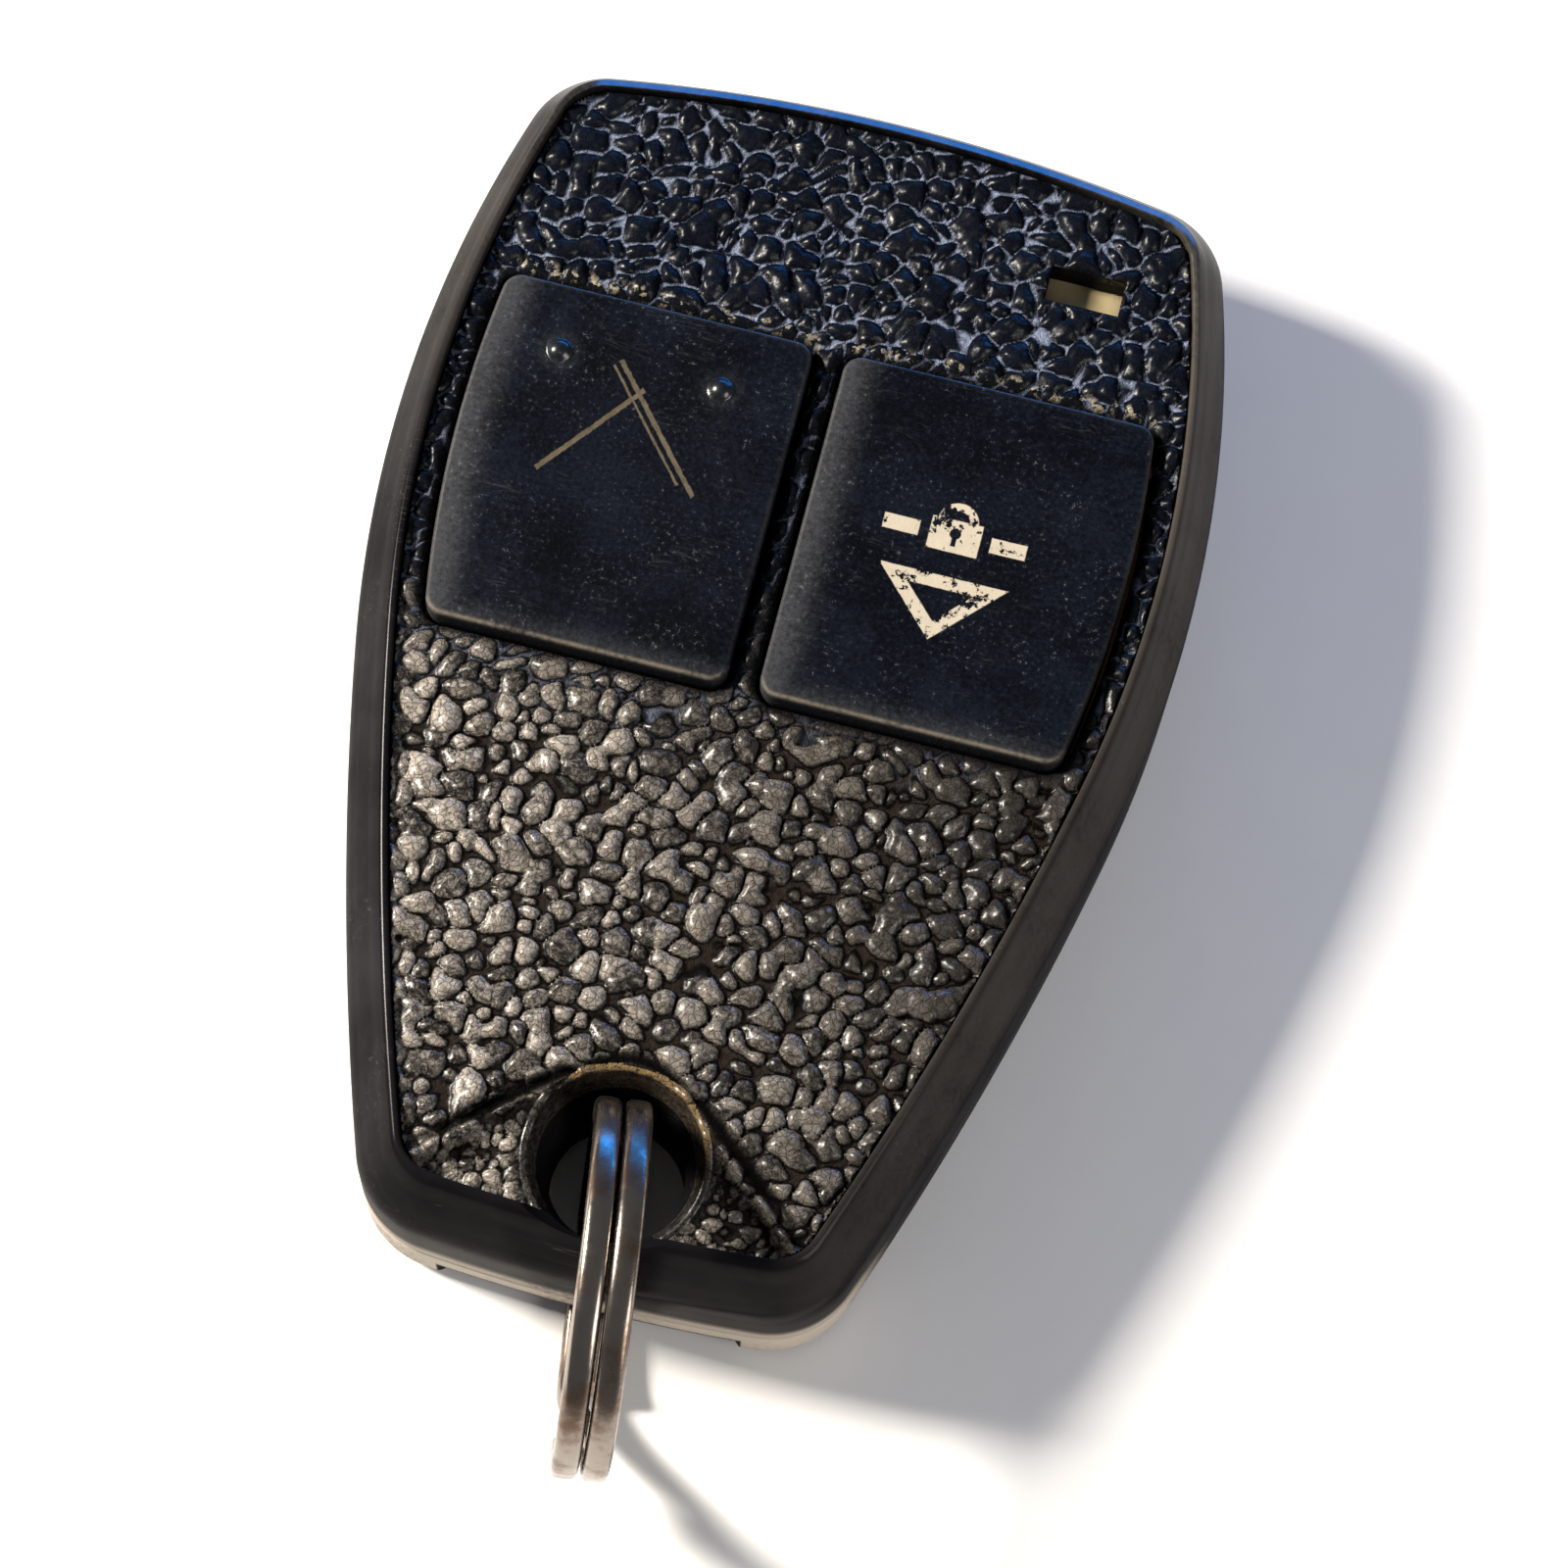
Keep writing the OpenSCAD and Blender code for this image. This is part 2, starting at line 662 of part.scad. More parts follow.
module led_lens() {
    flange_z = board_top + lamp_stand;
    lens = [lamp_w - 2 * lamp_gap, lamp_l - 2 * lamp_gap];
    color("#d9c59a") {
        block(lamp_c, [lens[0], lens[1], lens_z - flange_z], flange_z);
        block(lamp_c, [lens[0] + 2 * lamp_flange, lens[1] + 2 * lamp_flange, lamp_flange_t], flange_z);
    }
}

module led_leads() {
    color("silver") for (s = [LEFT, RIGHT])
        block(lamp_c + [s * lead_pitch / 2, 0],
            [lead_t, lead_t, board_t + lamp_stand + lead_tail], board_z - lead_tail);
}

module circuit_board() {
    color("#2f5a3a") difference() {
        intersection() {
            prism(case_outline(board_d), board_z, board_top);
            beyond(board_y);
        }
        bar([0, screw_y], screw_r + hole_gap, board_z - cut, board_top + cut);
        for (p = posts) bar(p, pin_r + hole_gap, board_z - cut, board_top + cut);
        for (s = [LEFT, RIGHT])
            bar(lamp_c + [s * lead_pitch / 2, 0], lead_t, board_z - cut, board_top + cut);
    }
}

module loop_antenna() {
    outer = board_d + even(loop_edge);
    color("#b87333") intersection() {
        difference() {
            prism(case_outline(outer), board_top, board_top + loop_t);
            prism(case_outline(outer + even(loop_w)), board_top - cut, board_top + loop_t + cut);
        }
        beyond(key_top_y - key_l);
    }
}

// Places a right-hand switch piece under the left or the right key
module at_switch(side) {
    translate([side * key_c[0], key_c[1], 0]) children();
}

module switch_base(side) {
    color("#20201f") at_switch(side) difference() {
        block([0, 0], [switch_w, switch_w, lid_z - board_top], board_top);
        bar([0, 0], well_r, dome_z, lid_z + cut);
    }
}
module left_switch_base() { switch_base(LEFT); }
module right_switch_base() { switch_base(RIGHT); }

module switch_lid(side) {
    leg_h = switch_h / 2;
    leg_w = switch_w / 3;
    leg_t = lid_t * 0.8;
    color("silver") at_switch(side) {
        difference() {
            block([0, 0], [switch_w + 2 * leg_t, switch_w, lid_t], lid_z);
            bar([0, 0], plunger_r + hole_gap, lid_z - cut, lid_z + lid_t + cut);
        }
        for (s = [LEFT, RIGHT])
            block([s * (switch_w + leg_t) / 2, 0], [leg_t, leg_w, leg_h], lid_z - leg_h + lid_t / 2);
    }
}
module left_switch_lid() { switch_lid(LEFT); }
module right_switch_lid() { switch_lid(RIGHT); }

module switch_plunger(side) {
    flange_r = plunger_r + plunger_flange;
    flange_t = 0.35;
    foot_r = plunger_r / 2;
    foot_z = dome_z + dome_h + seat_gap;
    color("#3b3b3a") at_switch(side) {
        bar([0, 0], plunger_r, lid_z - seat_gap - flange_t, plunger_z);
        bar([0, 0], flange_r, lid_z - seat_gap - flange_t, lid_z - seat_gap);
        bar([0, 0], foot_r, foot_z, lid_z);
    }
}
module left_switch_plunger() { switch_plunger(LEFT); }
module right_switch_plunger() { switch_plunger(RIGHT); }

// Thin domed spring on the floor of the switch well
module switch_dome(side) {
    steps = 6;
    metal = 0.12;
    foot_r = well_r - hole_gap;
    crown = [for (i = [0:steps]) let (f = i / steps) [foot_r * f, (dome_h - metal) * (1 - f * f)]];
    color("gainsboro") at_switch(side) translate([0, 0, dome_z]) rotate_extrude()
        polygon(concat([for (p = crown) [p[0], p[1] + metal]], [for (i = [steps:-1:0]) crown[i]]));
}
module left_switch_dome() { switch_dome(LEFT); }
module right_switch_dome() { switch_dome(RIGHT); }

module switch_terminals() {
    foot = [0.7, 1, 0.2];
    pitch = 4.5;
    color("silver") for (side = [LEFT, RIGHT]) at_switch(side)
        for (x = [LEFT, RIGHT]) for (y = [LEFT, RIGHT])
            block([x * pitch / 2, y * (switch_w + foot[1]) / 2], foot, board_top);
}

// Coin cell: can below, smaller cap above
module coin_cell() {
    chamfer = 0.3;
    cap_inset = 1.4;
    cap_rise = 0.25;
    cap_r = cell_r - cap_inset;
    shoulder = cell_t - cap_rise;
    color("#c9c9c4") translate([0, key_c[1], cell_z]) rotate_extrude() polygon([
        [0, 0], [cell_r - chamfer, 0], [cell_r, chamfer], [cell_r, shoulder - chamfer],
        [cell_r - chamfer, shoulder], [cap_r, shoulder], [cap_r - chamfer / 2, cell_t], [0, cell_t]
    ]);
}

// Bracket on the board's underside whose leg touches the side of the can
module positive_contact() {
    foot_l = 3;
    leg_y = key_c[1] - cell_r - seat_gap;
    color("#d2c9a8") across([
        [leg_y, board_z], [leg_y, cell_z + cell_t / 4], [leg_y - contact_t, cell_z + cell_t / 4],
        [leg_y - contact_t, board_z - contact_t], [leg_y - foot_l, board_z - contact_t],
        [leg_y - foot_l, board_z]
    ], contact_w);
}

// Leaf on the board's underside that bows down onto the cap of the cell
module negative_contact() {
    foot_l = 3;
    leaf_l = 7;
    low_z = cell_z + cell_t + seat_gap;
    start_y = key_c[1] - leaf_l / 2;
    color("#d2c9a8") across([
        [start_y, board_z], [start_y, board_z - contact_t], [start_y + foot_l, board_z - contact_t],
        [start_y + leaf_l, low_z], [start_y + leaf_l + contact_t, low_z + contact_t / 2],
        [start_y + foot_l, board_z]
    ], contact_w);
}

// Moulded package with a round mark at the end of its first lead
module encoder_chip() {
    mark_r = 0.4;
    mark_from_end = 1;
    color("#1c1c1e") difference() {
        block(chip_c, [chip_l, chip_w, chip_h], board_top + hole_gap);
        bar(chip_c + [mark_from_end - chip_l / 2, 0], mark_r, board_top + chip_h, board_top + chip_h + cut);
    }
}

// Gull-wing leads, seven to a side
module encoder_leads() {
    per_side = 7;
    pitch = 1.27;
    lead_w = 0.42;
    sheet = 0.2;
    reach = 1.1;
    mid_z = board_top + chip_h / 2;
    color("silver") for (turn = [0, 180]) translate([chip_c[0], chip_c[1], 0]) rotate(turn)
        for (i = [0:per_side - 1]) translate([(i - (per_side - 1) / 2) * pitch, chip_w / 2, 0])
            across([
                [0, mid_z], [0, mid_z + sheet], [sheet * 2, mid_z + sheet], [sheet * 3, board_top + sheet],
                [reach, board_top + sheet], [reach, board_top], [sheet * 2, board_top], [sheet, mid_z]
            ], lead_w);
}

module resonator_can() {
    brim = 0.5;
    color("#b9bcc0") translate([can_c[0], can_c[1], board_top]) rotate_extrude() polygon([
        [0, 0], [can_r + brim, 0], [can_r + brim, brim], [can_r, brim],
        [can_r, can_h - brim], [can_r - brim, can_h], [0, can_h]
    ]);
}

module transistor() {
    body = [2.9, 1.3, 1];
    foot = [0.4, 0.6, 0.3];
    foot_x = 0.95;
    foot_y = (body[1] + foot[1]) / 2;
    c = [0, board_y + transistor_from_edge];
    color("#232325") {
        block(c, body, board_top);
        for (x = [LEFT, RIGHT]) block(c + [x * foot_x, -foot_y], foot, board_top);
        block(c + [0, foot_y], foot, board_top);
    }
}

module trimmer_body() {
    color("#d8cfb8") difference() {
        block(trimmer_c, [trimmer_w, trimmer_w, trimmer_h], board_top);
        bar(trimmer_c, rotor_r + hole_gap, board_top + trimmer_h / 2, board_top + trimmer_h + cut);
    }
}

module trimmer_rotor() {
    slot = [2.2, 0.5, 0.6];
    top = board_top + trimmer_h + rotor_rise;
    color("#c8a24a") difference() {
        bar(trimmer_c, rotor_r, board_top + trimmer_h / 2, top);
        block(trimmer_c, slot, top - slot[2] / 2);
    }
}

module chip_resistors() {
    color("#2a2a2c") for (i = [-2:2])
        block(chip_c + [i * resistor_pitch, resistor_row], chip_part, board_top);
}

module chip_capacitors() {
    from_chip = (chip_l + chip_part_l) / 2 + capacitor_gap;
    color("#b59a76") for (x = [LEFT, RIGHT]) for (y = [LEFT, RIGHT])
        block(chip_c + [x * from_chip, y * capacitor_pitch / 2], chip_part, board_top);
}

// Wire of two turns side by side, with one crossing between them
module split_ring() {
    step = 8;
    side_step = wire_w + turn_gap;
    start = cross_angle / 2 + 1;
    steps = round((720 - 2 * start) / step);
    mean_r = (ring_od - wire_t) / 2;
    w = wire_w / 2;
    t = wire_t / 2;
    b = wire_corner;
    section = [
        [t, -w + b], [t, w - b], [t - b, w], [-t + b, w],
        [-t, w - b], [-t, -w + b], [-t + b, -w], [t - b, -w]
    ];
    n = len(section);
    points = [for (k = [0:steps]) let (
            a = start + k * (720 - 2 * start) / steps,
            f = min(max((a - 360) / cross_angle + 0.5, 0), 1),
            shift = side_step * (f * f * (3 - 2 * f) - 0.5)
        ) for (p = section) let (r = mean_r + p[0])
            [shift + p[1], -r * cos(a + cross_place), r * sin(a + cross_place)]];
    sides = [for (k = [0:steps - 1]) for (i = [0:n - 1]) let (j = (i + 1) % n)
        each [[k * n + i, (k + 1) * n + i, (k + 1) * n + j], [k * n + i, (k + 1) * n + j, k * n + j]]];
    color("#cfd2d4") translate([0, bore_y, 0]) rotate(ring_rest) translate([0, -ring_reach, ring_z])
        rotate([0, ring_lean, 0]) polyhedron(points = points, faces = concat(
            [[for (i = [0:n - 1]) i]], sides, [[for (i = [n - 1:-1:0]) steps * n + i]]
        ));
}

upper_case();
grained_panel();
rear_cover();
case_screw();
unlock_button();
lock_button();
led_lens();
led_leads();
circuit_board();
loop_antenna();
left_switch_base();
right_switch_base();
left_switch_lid();
right_switch_lid();
left_switch_plunger();
right_switch_plunger();
left_switch_dome();
right_switch_dome();
switch_terminals();
coin_cell();
positive_contact();
negative_contact();
encoder_chip();
encoder_leads();
resonator_can();
transistor();
trimmer_body();
trimmer_rotor();
chip_resistors();
chip_capacitors();
split_ring();
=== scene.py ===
"""Two-button car key fob with a grained face, on a split ring."""
import json
import bmesh
import bpy
import numpy as np
from mathutils import Matrix, Vector


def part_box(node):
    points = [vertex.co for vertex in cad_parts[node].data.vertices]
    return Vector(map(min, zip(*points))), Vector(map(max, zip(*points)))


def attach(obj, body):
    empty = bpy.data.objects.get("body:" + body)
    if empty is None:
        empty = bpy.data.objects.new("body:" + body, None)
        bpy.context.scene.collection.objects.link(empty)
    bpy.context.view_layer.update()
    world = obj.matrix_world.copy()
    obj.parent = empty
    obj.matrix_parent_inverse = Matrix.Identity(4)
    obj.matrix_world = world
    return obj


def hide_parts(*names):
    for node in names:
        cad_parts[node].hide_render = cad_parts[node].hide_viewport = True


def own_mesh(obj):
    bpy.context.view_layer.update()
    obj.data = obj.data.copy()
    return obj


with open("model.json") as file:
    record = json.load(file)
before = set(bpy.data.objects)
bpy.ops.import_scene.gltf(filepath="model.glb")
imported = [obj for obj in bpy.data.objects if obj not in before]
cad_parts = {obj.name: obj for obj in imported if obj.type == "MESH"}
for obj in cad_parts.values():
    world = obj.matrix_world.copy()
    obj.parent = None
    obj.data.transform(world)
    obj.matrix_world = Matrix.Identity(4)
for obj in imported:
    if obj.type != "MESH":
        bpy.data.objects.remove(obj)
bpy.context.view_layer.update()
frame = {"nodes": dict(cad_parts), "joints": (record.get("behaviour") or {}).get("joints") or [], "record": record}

# All sizes are in millimetres, and a mesh is turned into metres when it is made
MM = 0.001


def node_box(node):
    """Lowest and highest corner of a node of the frame, in millimetres."""
    low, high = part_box(node)
    return np.array(low) / MM, np.array(high) / MM


case_low, case_high = node_box("upper_case")
panel_low, panel_high = node_box("grained_panel")
key_low = node_box("lock_button")[0]
lens_low, lens_high = node_box("led_lens")
screw_low, screw_high = node_box("case_screw")

# Case
TOP_Y = case_high[1]
END_Y = case_low[1]
HALF_W = case_high[0]
CASE_L = TOP_Y - END_Y
JOINT_Z = case_low[2]
CREST_Z = case_high[2]
FACE_Z = panel_high[2]
WIDEST_FROM_TOP = 22.6
TOP_R = 91
TOP_CORNER_R = 4.7
SIDE_R = 65
TAPER_R = 190
TAPER_DROP = 13
END_CORNER_R = 4.8
END_R = 100
BEVEL_Z = 9
CREST_W = 0.3
WIDE_SLOPE = np.tan(np.radians(27.5))
RIM_W = 2.05
RIM_END_W = 2.45
WALL_T = 1.6
FLOOR_T = 1.4
BACK_ROUND = 1.2
BACK_INSET = 1
SEAM = 0.06
PANEL_T = 1
DECK_T = 1
PANEL_GAP = 0.1
PANEL_Z = FACE_Z - PANEL_T

# Eye for the ring
BORE_Y = END_Y + 6.1
BORE_R = 3.5
MOUTH_R = 4.4
MOUTH_Z = 11.4
MOUTH_ROLL = 0.12
LIP_IN = 0.3
LIP_OUT = 0.55
FLARE_Z = 6.5
COLLAR_Z = panel_low[2]
COLLAR_R = BORE_R + (MOUTH_R - BORE_R) * (COLLAR_Z - FLARE_Z) / (MOUTH_Z - FLARE_Z)
SCOOP_Y = BORE_Y + 4.7
SCOOP_NOSE_R = 2.7
SCOOP_SPREAD = 1.06
SCOOP_STEP = 0.25
SCOOP_DEPTH = 1.4
COLLAR_Y = SCOOP_Y + 1.2
BULKHEAD_Y = COLLAR_Y + 1.9
RELIEF_H = 2.4
RELIEF_W = 3.2
RING_SWING = np.radians(40)

# Keys and lamp
KEY_SPLIT = 1.7
KEY_MARGIN = 3.75
KEY_CORNER_R = 1
KEY_GAP = 0.2
KEY_L = 19.4
KEY_TOP_Y = TOP_Y - 15.1
KEY_TOP_Z = FACE_Z + 0.6
KEY_BOTTOM_Z = key_low[2]
KEY_C = np.array([(KEY_SPLIT / 2 + HALF_W - KEY_MARGIN) / 2, KEY_TOP_Y - KEY_L / 2])
PIP_R = 0.75
PIP_RISE = 0.4
PIP_SPREAD = 4.35
PIP_Y = KEY_TOP_Y - 3.75
LAMP_SIZE = np.array([4.0, 2.0])
LAMP_C = (lens_low + lens_high)[:2] / 2

# Screw
SCREW_Y = (screw_low + screw_high)[1] / 2
HEAD_R = (screw_high - screw_low)[0] / 2
HEAD_T = 1.2
SHANK_R = 1.1
HOLE_GAP = 0.1

# Split ring
RING_OD = 19.1
WIRE = 1.4
TURN_GAP = 0.12
CROSS_ANGLE = np.radians(30)
CROSS_PLACE = np.radians(-50)
RING_REST = np.radians(8.2)
RING_REACH = 6.4
RING_LEAN = np.radians(3.4)
RING_Z = RING_OD / 2 * np.cos(RING_LEAN) + (WIRE + TURN_GAP / 2) * np.sin(RING_LEAN) + 0.05

# Grain of the panel
PEBBLE_PITCH = 1.22
FINE_GRAIN = 1.75
GRAIN_RISE = 0.40
GRAIN_SINK = 0.46
CALM_RISE = 0.18
BEAD_RISE = 0.12
SCOOP_GROOVE = 0.42
GRID_STEP = 0.145
# The eye's place in the list of the panel's edges
EYE_EDGE = 3

SIDE_C = np.array([HALF_W - SIDE_R, TOP_Y - WIDEST_FROM_TOP])


# Numbers and lines

def unit(angle):
    """Unit vectors at the given angles."""
    return np.stack([np.cos(angle), np.sin(angle)], -1)


def angle_of(v):
    """Angle of a plane vector."""
    return np.arctan2(v[1], v[0])


def smooth(t, low=0.0, high=1.0):
    """Rises from 0 at low to 1 at high along 3t^2 - 2t^3."""
    t = np.clip((t - low) / (high - low), 0, 1)
    return t * t * (3 - 2 * t)


def hump(v, width):
    """Bell curve: 1 at zero, and 1/e at the given width to each side."""
    return np.exp(-(v / width) ** 2)


def rolled(room, radius):
    """Drop of a rounded edge: a quarter circle, where room is the distance from the edge."""
    back = np.clip(radius - room, 0, radius)
    return radius - np.sqrt(radius ** 2 - back ** 2)


def meet(c0, r0, c1, r1, side):
    """One of the two points where two circles meet."""
    v = c1 - c0
    d = np.linalg.norm(v)
    a = (r0 ** 2 - r1 ** 2 + d ** 2) / (2 * d)
    return c0 + (a * v + side * np.sqrt(r0 ** 2 - a ** 2) * np.array([-v[1], v[0]])) / d


def arc(centre, radius, start, end, count=60):
    """Points along an arc of a circle."""
    return np.asarray(centre) + radius * unit(np.linspace(start, end, count))


def curve(a, b, c, count):
    """Points of a parabola from a to c whose ends point at b."""
    t = np.linspace(0, 1, count)[:, None]
    return (1 - t) ** 2 * np.array(a) + 2 * t * (1 - t) * np.array(b) + t ** 2 * np.array(c)


def closed_path(points, count):
    """Evenly spaced points along a closed clockwise line, with the normals that point into it."""
    loop = np.vstack([points, points[:1]])
    run = np.concatenate([[0], np.cumsum(np.linalg.norm(np.diff(loop, axis=0), axis=1))])
    at = np.linspace(0, run[-1], count, endpoint=False)
    even = np.stack([np.interp(at, run, loop[:, k]) for k in (0, 1)], -1)
    along = np.roll(even, -1, 0) - np.roll(even, 1, 0)
    along /= np.linalg.norm(along, axis=1, keepdims=True)
    return even, np.stack([along[:, 1], -along[:, 0]], -1)


def case_path(count):
    """Outline of the case: six tangent arcs down the right side and their mirror image."""
    top_c = np.array([0, TOP_Y - TOP_R])
    end_c = np.array([0, END_Y + END_R])
    taper = -np.arcsin(TAPER_DROP / SIDE_R)
    taper_c = SIDE_C + (SIDE_R - TAPER_R) * unit(taper)
    top_corner = meet(top_c, TOP_R - TOP_CORNER_R, SIDE_C, SIDE_R - TOP_CORNER_R, -1)
    end_corner = meet(end_c, END_R - END_CORNER_R, taper_c, TAPER_R - END_CORNER_R, 1)
    top_turn, side_turn = angle_of(top_corner - top_c), angle_of(top_corner - SIDE_C)
    taper_turn, end_turn = angle_of(end_corner - taper_c), angle_of(end_corner - end_c)
    right = np.vstack([
        arc(top_c, TOP_R, np.pi / 2, top_turn),
        arc(top_corner, TOP_CORNER_R, top_turn, side_turn),
        arc(SIDE_C, SIDE_R, side_turn, taper),
        arc(taper_c, TAPER_R, taper, taper_turn),
        arc(end_corner, END_CORNER_R, taper_turn, end_turn),
        arc(end_c, END_R, end_turn, -np.pi / 2),
    ])
    return closed_path(np.vstack([right, right[-2:0:-1] * [-1, 1]]), count)


def key_path(inset, count):
    """Outline of the right key, moved in by inset: straight but for its corners and curved side."""
    r = KEY_CORNER_R
    side = SIDE_R - KEY_MARGIN
    x_in = KEY_SPLIT / 2 + r
    y_hi = KEY_TOP_Y - r
    y_lo = KEY_TOP_Y - KEY_L + r
    high, low = [
        np.array([SIDE_C[0] + np.sqrt((side - r) ** 2 - (y - SIDE_C[1]) ** 2), y]) for y in (y_hi, y_lo)
    ]
    a_hi = angle_of(high - SIDE_C)
    a_lo = angle_of(low - SIDE_C)
    line = np.vstack([
        arc([x_in, y_hi], r, np.pi, np.pi / 2, 20),
        arc(high, r, np.pi / 2, a_hi, 20),
        arc(SIDE_C, side, a_hi, a_lo),
        arc(low, r, a_lo, -np.pi / 2, 20),
        arc([x_in, y_lo], r, -np.pi / 2, -np.pi, 20),
    ])
    path, inward = closed_path(line, count)
    return path + inset * inward, inward


def rim_width(y):
    """Width of the rim, which grows evenly from the wide end to the ring end."""
    return RIM_W + (RIM_END_W - RIM_W) * (TOP_Y - y) / CASE_L


def inset_from(points, path, inward):
    """Distance of points inside a closed path, and the normal at the nearest place on it."""
    blocks = np.array_split(points, max(1, len(points) // 4000))
    near = np.concatenate([((block[:, None] - path) ** 2).sum(-1).argmin(1) for block in blocks])
    return ((points - path[near]) * inward[near]).sum(-1), inward[near]


def lattice_noise(x, y, size, seed):
    """Smooth noise from 0 to 1: random numbers on a square lattice, blended across each square."""
    table = np.random.default_rng(seed).random((256, 256))
    u, v = x / size, y / size
    i, j = np.floor(u).astype(int), np.floor(v).astype(int)
    fu, fv = smooth(u - i), smooth(v - j)
    corner = [[table[(i + a) % 256, (j + b) % 256] for b in (0, 1)] for a in (0, 1)]
    low = corner[0][0] * (1 - fu) + corner[1][0] * fu
    high = corner[0][1] * (1 - fu) + corner[1][1] * fu
    return low * (1 - fv) + high * fv


# Meshes

def grid_faces(rows, columns, close_rows=False, close_columns=False):
    """Four-cornered faces of a grid of points that is stored row by row."""
    i, j = np.meshgrid(
        np.arange(rows - (not close_rows)), np.arange(columns - (not close_columns)), indexing="ij"
    )
    i2, j2 = (i + 1) % rows, (j + 1) % columns
    corners = [i * columns + j, i * columns + j2, i2 * columns + j2, i2 * columns + j]
    return np.stack(corners, -1).reshape(-1, 4)


def raised(flat, heights):
    """Points of a flat array, lifted to their heights."""
    return np.concatenate([flat, np.broadcast_to(heights, flat.shape[:-1])[..., None]], -1)


def to_mesh(name, points, quads, ends=(), stored=None):
    """Mesh of points in millimetres, with its faces and the numbers that it stores at its points."""
    mesh = bpy.data.meshes.new(name)
    mesh.from_pydata((points * MM).tolist(), [], quads.tolist() + [end.tolist() for end in ends])
    for key, numbers in (stored or {}).items():
        layer = mesh.attributes.new(key, "FLOAT", "POINT")
        layer.data.foreach_set("value", np.asarray(numbers, np.float32))
    return mesh


def tidy(mesh, fill_normal=None, merge=1e-4):
    """Closes a mesh's open loops with flat faces if asked, merges doubles and turns faces outwards."""
    work = bmesh.new()
    work.from_mesh(mesh)
    if fill_normal is not None:
        rim = [edge for edge in work.edges if edge.is_boundary]
        bmesh.ops.triangle_fill(work, use_beauty=True, edges=rim, normal=fill_normal)
    bmesh.ops.remove_doubles(work, verts=work.verts, dist=merge * MM)
    bmesh.ops.recalc_face_normals(work, faces=work.faces)
    work.to_mesh(mesh)
    work.free()


def placed(name, data):
    """New object of a mesh, light or camera, linked to the scene."""
    thing = bpy.data.objects.new(name, data)
    bpy.context.scene.collection.objects.link(thing)
    return thing


def piece(name, mesh, body, node, paint, hard=40):
    """Object of a finished mesh: smooth but for its hard edges, riding on a body in a node's place."""
    mesh.shade_smooth()
    mesh.set_sharp_from_angle(angle=np.radians(hard))
    thing = placed(name, mesh)
    mesh.materials.append(paint.material)
    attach(thing, body)
    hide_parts(node)


def capped_shell(name, rows, **stored):
    """Closed mesh of rows of points: a tube with a flat face at its first and last row."""
    levels, count = rows.shape[:2]
    first = np.arange(count)
    stored = {key: np.broadcast_to(v, (levels, count)).ravel() for key, v in stored.items()}
    quads = grid_faces(levels, count, close_columns=True)
    mesh = to_mesh(name, rows.reshape(-1, 3), quads, [first, first + (levels - 1) * count], stored)
    tidy(mesh)
    return mesh


def prism(name, outline, low, high):
    """Closed mesh of a flat outline between two heights."""
    return capped_shell(name, np.stack([raised(outline, z) for z in (low, high)]))


def turned(name, centre, profile, count=96):
    """Closed mesh of a profile of radius and height, turned about an upright axis, with flat ends."""
    r, z = np.array(profile, float).T[..., None]
    around = unit(np.linspace(0, 2 * np.pi, count, endpoint=False))
    return capped_shell(name, raised(centre + r[..., None] * around, z))


def cut_out(mesh, cutters):
    """Takes the closed meshes of cutters away from a mesh, one after the other."""
    for tool in cutters:
        body = placed("stock", mesh)
        blade = placed("blade", tool)
        step = body.modifiers.new("cut", "BOOLEAN")
        step.operation = "DIFFERENCE"
        step.solver = "EXACT"
        step.object = blade
        done = body.evaluated_get(bpy.context.evaluated_depsgraph_get())
        mesh = bpy.data.meshes.new_from_object(done)
        for thing in (body, blade):
            bpy.data.objects.remove(thing)
    return mesh


def carried(path, inward, insets, heights):
    """Points of a profile carried round a path: each row lies at one inset and height of the profile."""
    return raised(path[None] + insets[..., None] * inward[None], heights)


# Materials

class Value:
    """A number that changes over a surface; arithmetic on it adds Math nodes."""

    def __init__(self, paint, socket):
        self.paint = paint
        self.socket = socket

    def __add__(self, other):
        return self.paint.math("ADD", self, other)

    def __sub__(self, other):
        return self.paint.math("SUBTRACT", self, other)

    def __rsub__(self, other):
        return self.paint.math("SUBTRACT", other, self)

    def __mul__(self, other):
        return self.paint.math("MULTIPLY", self, other)

    def __pow__(self, other):
        return self.paint.math("POWER", self, other)

    def __abs__(self):
        return self.paint.math("ABSOLUTE", self)

    __radd__ = __add__
    __rmul__ = __mul__


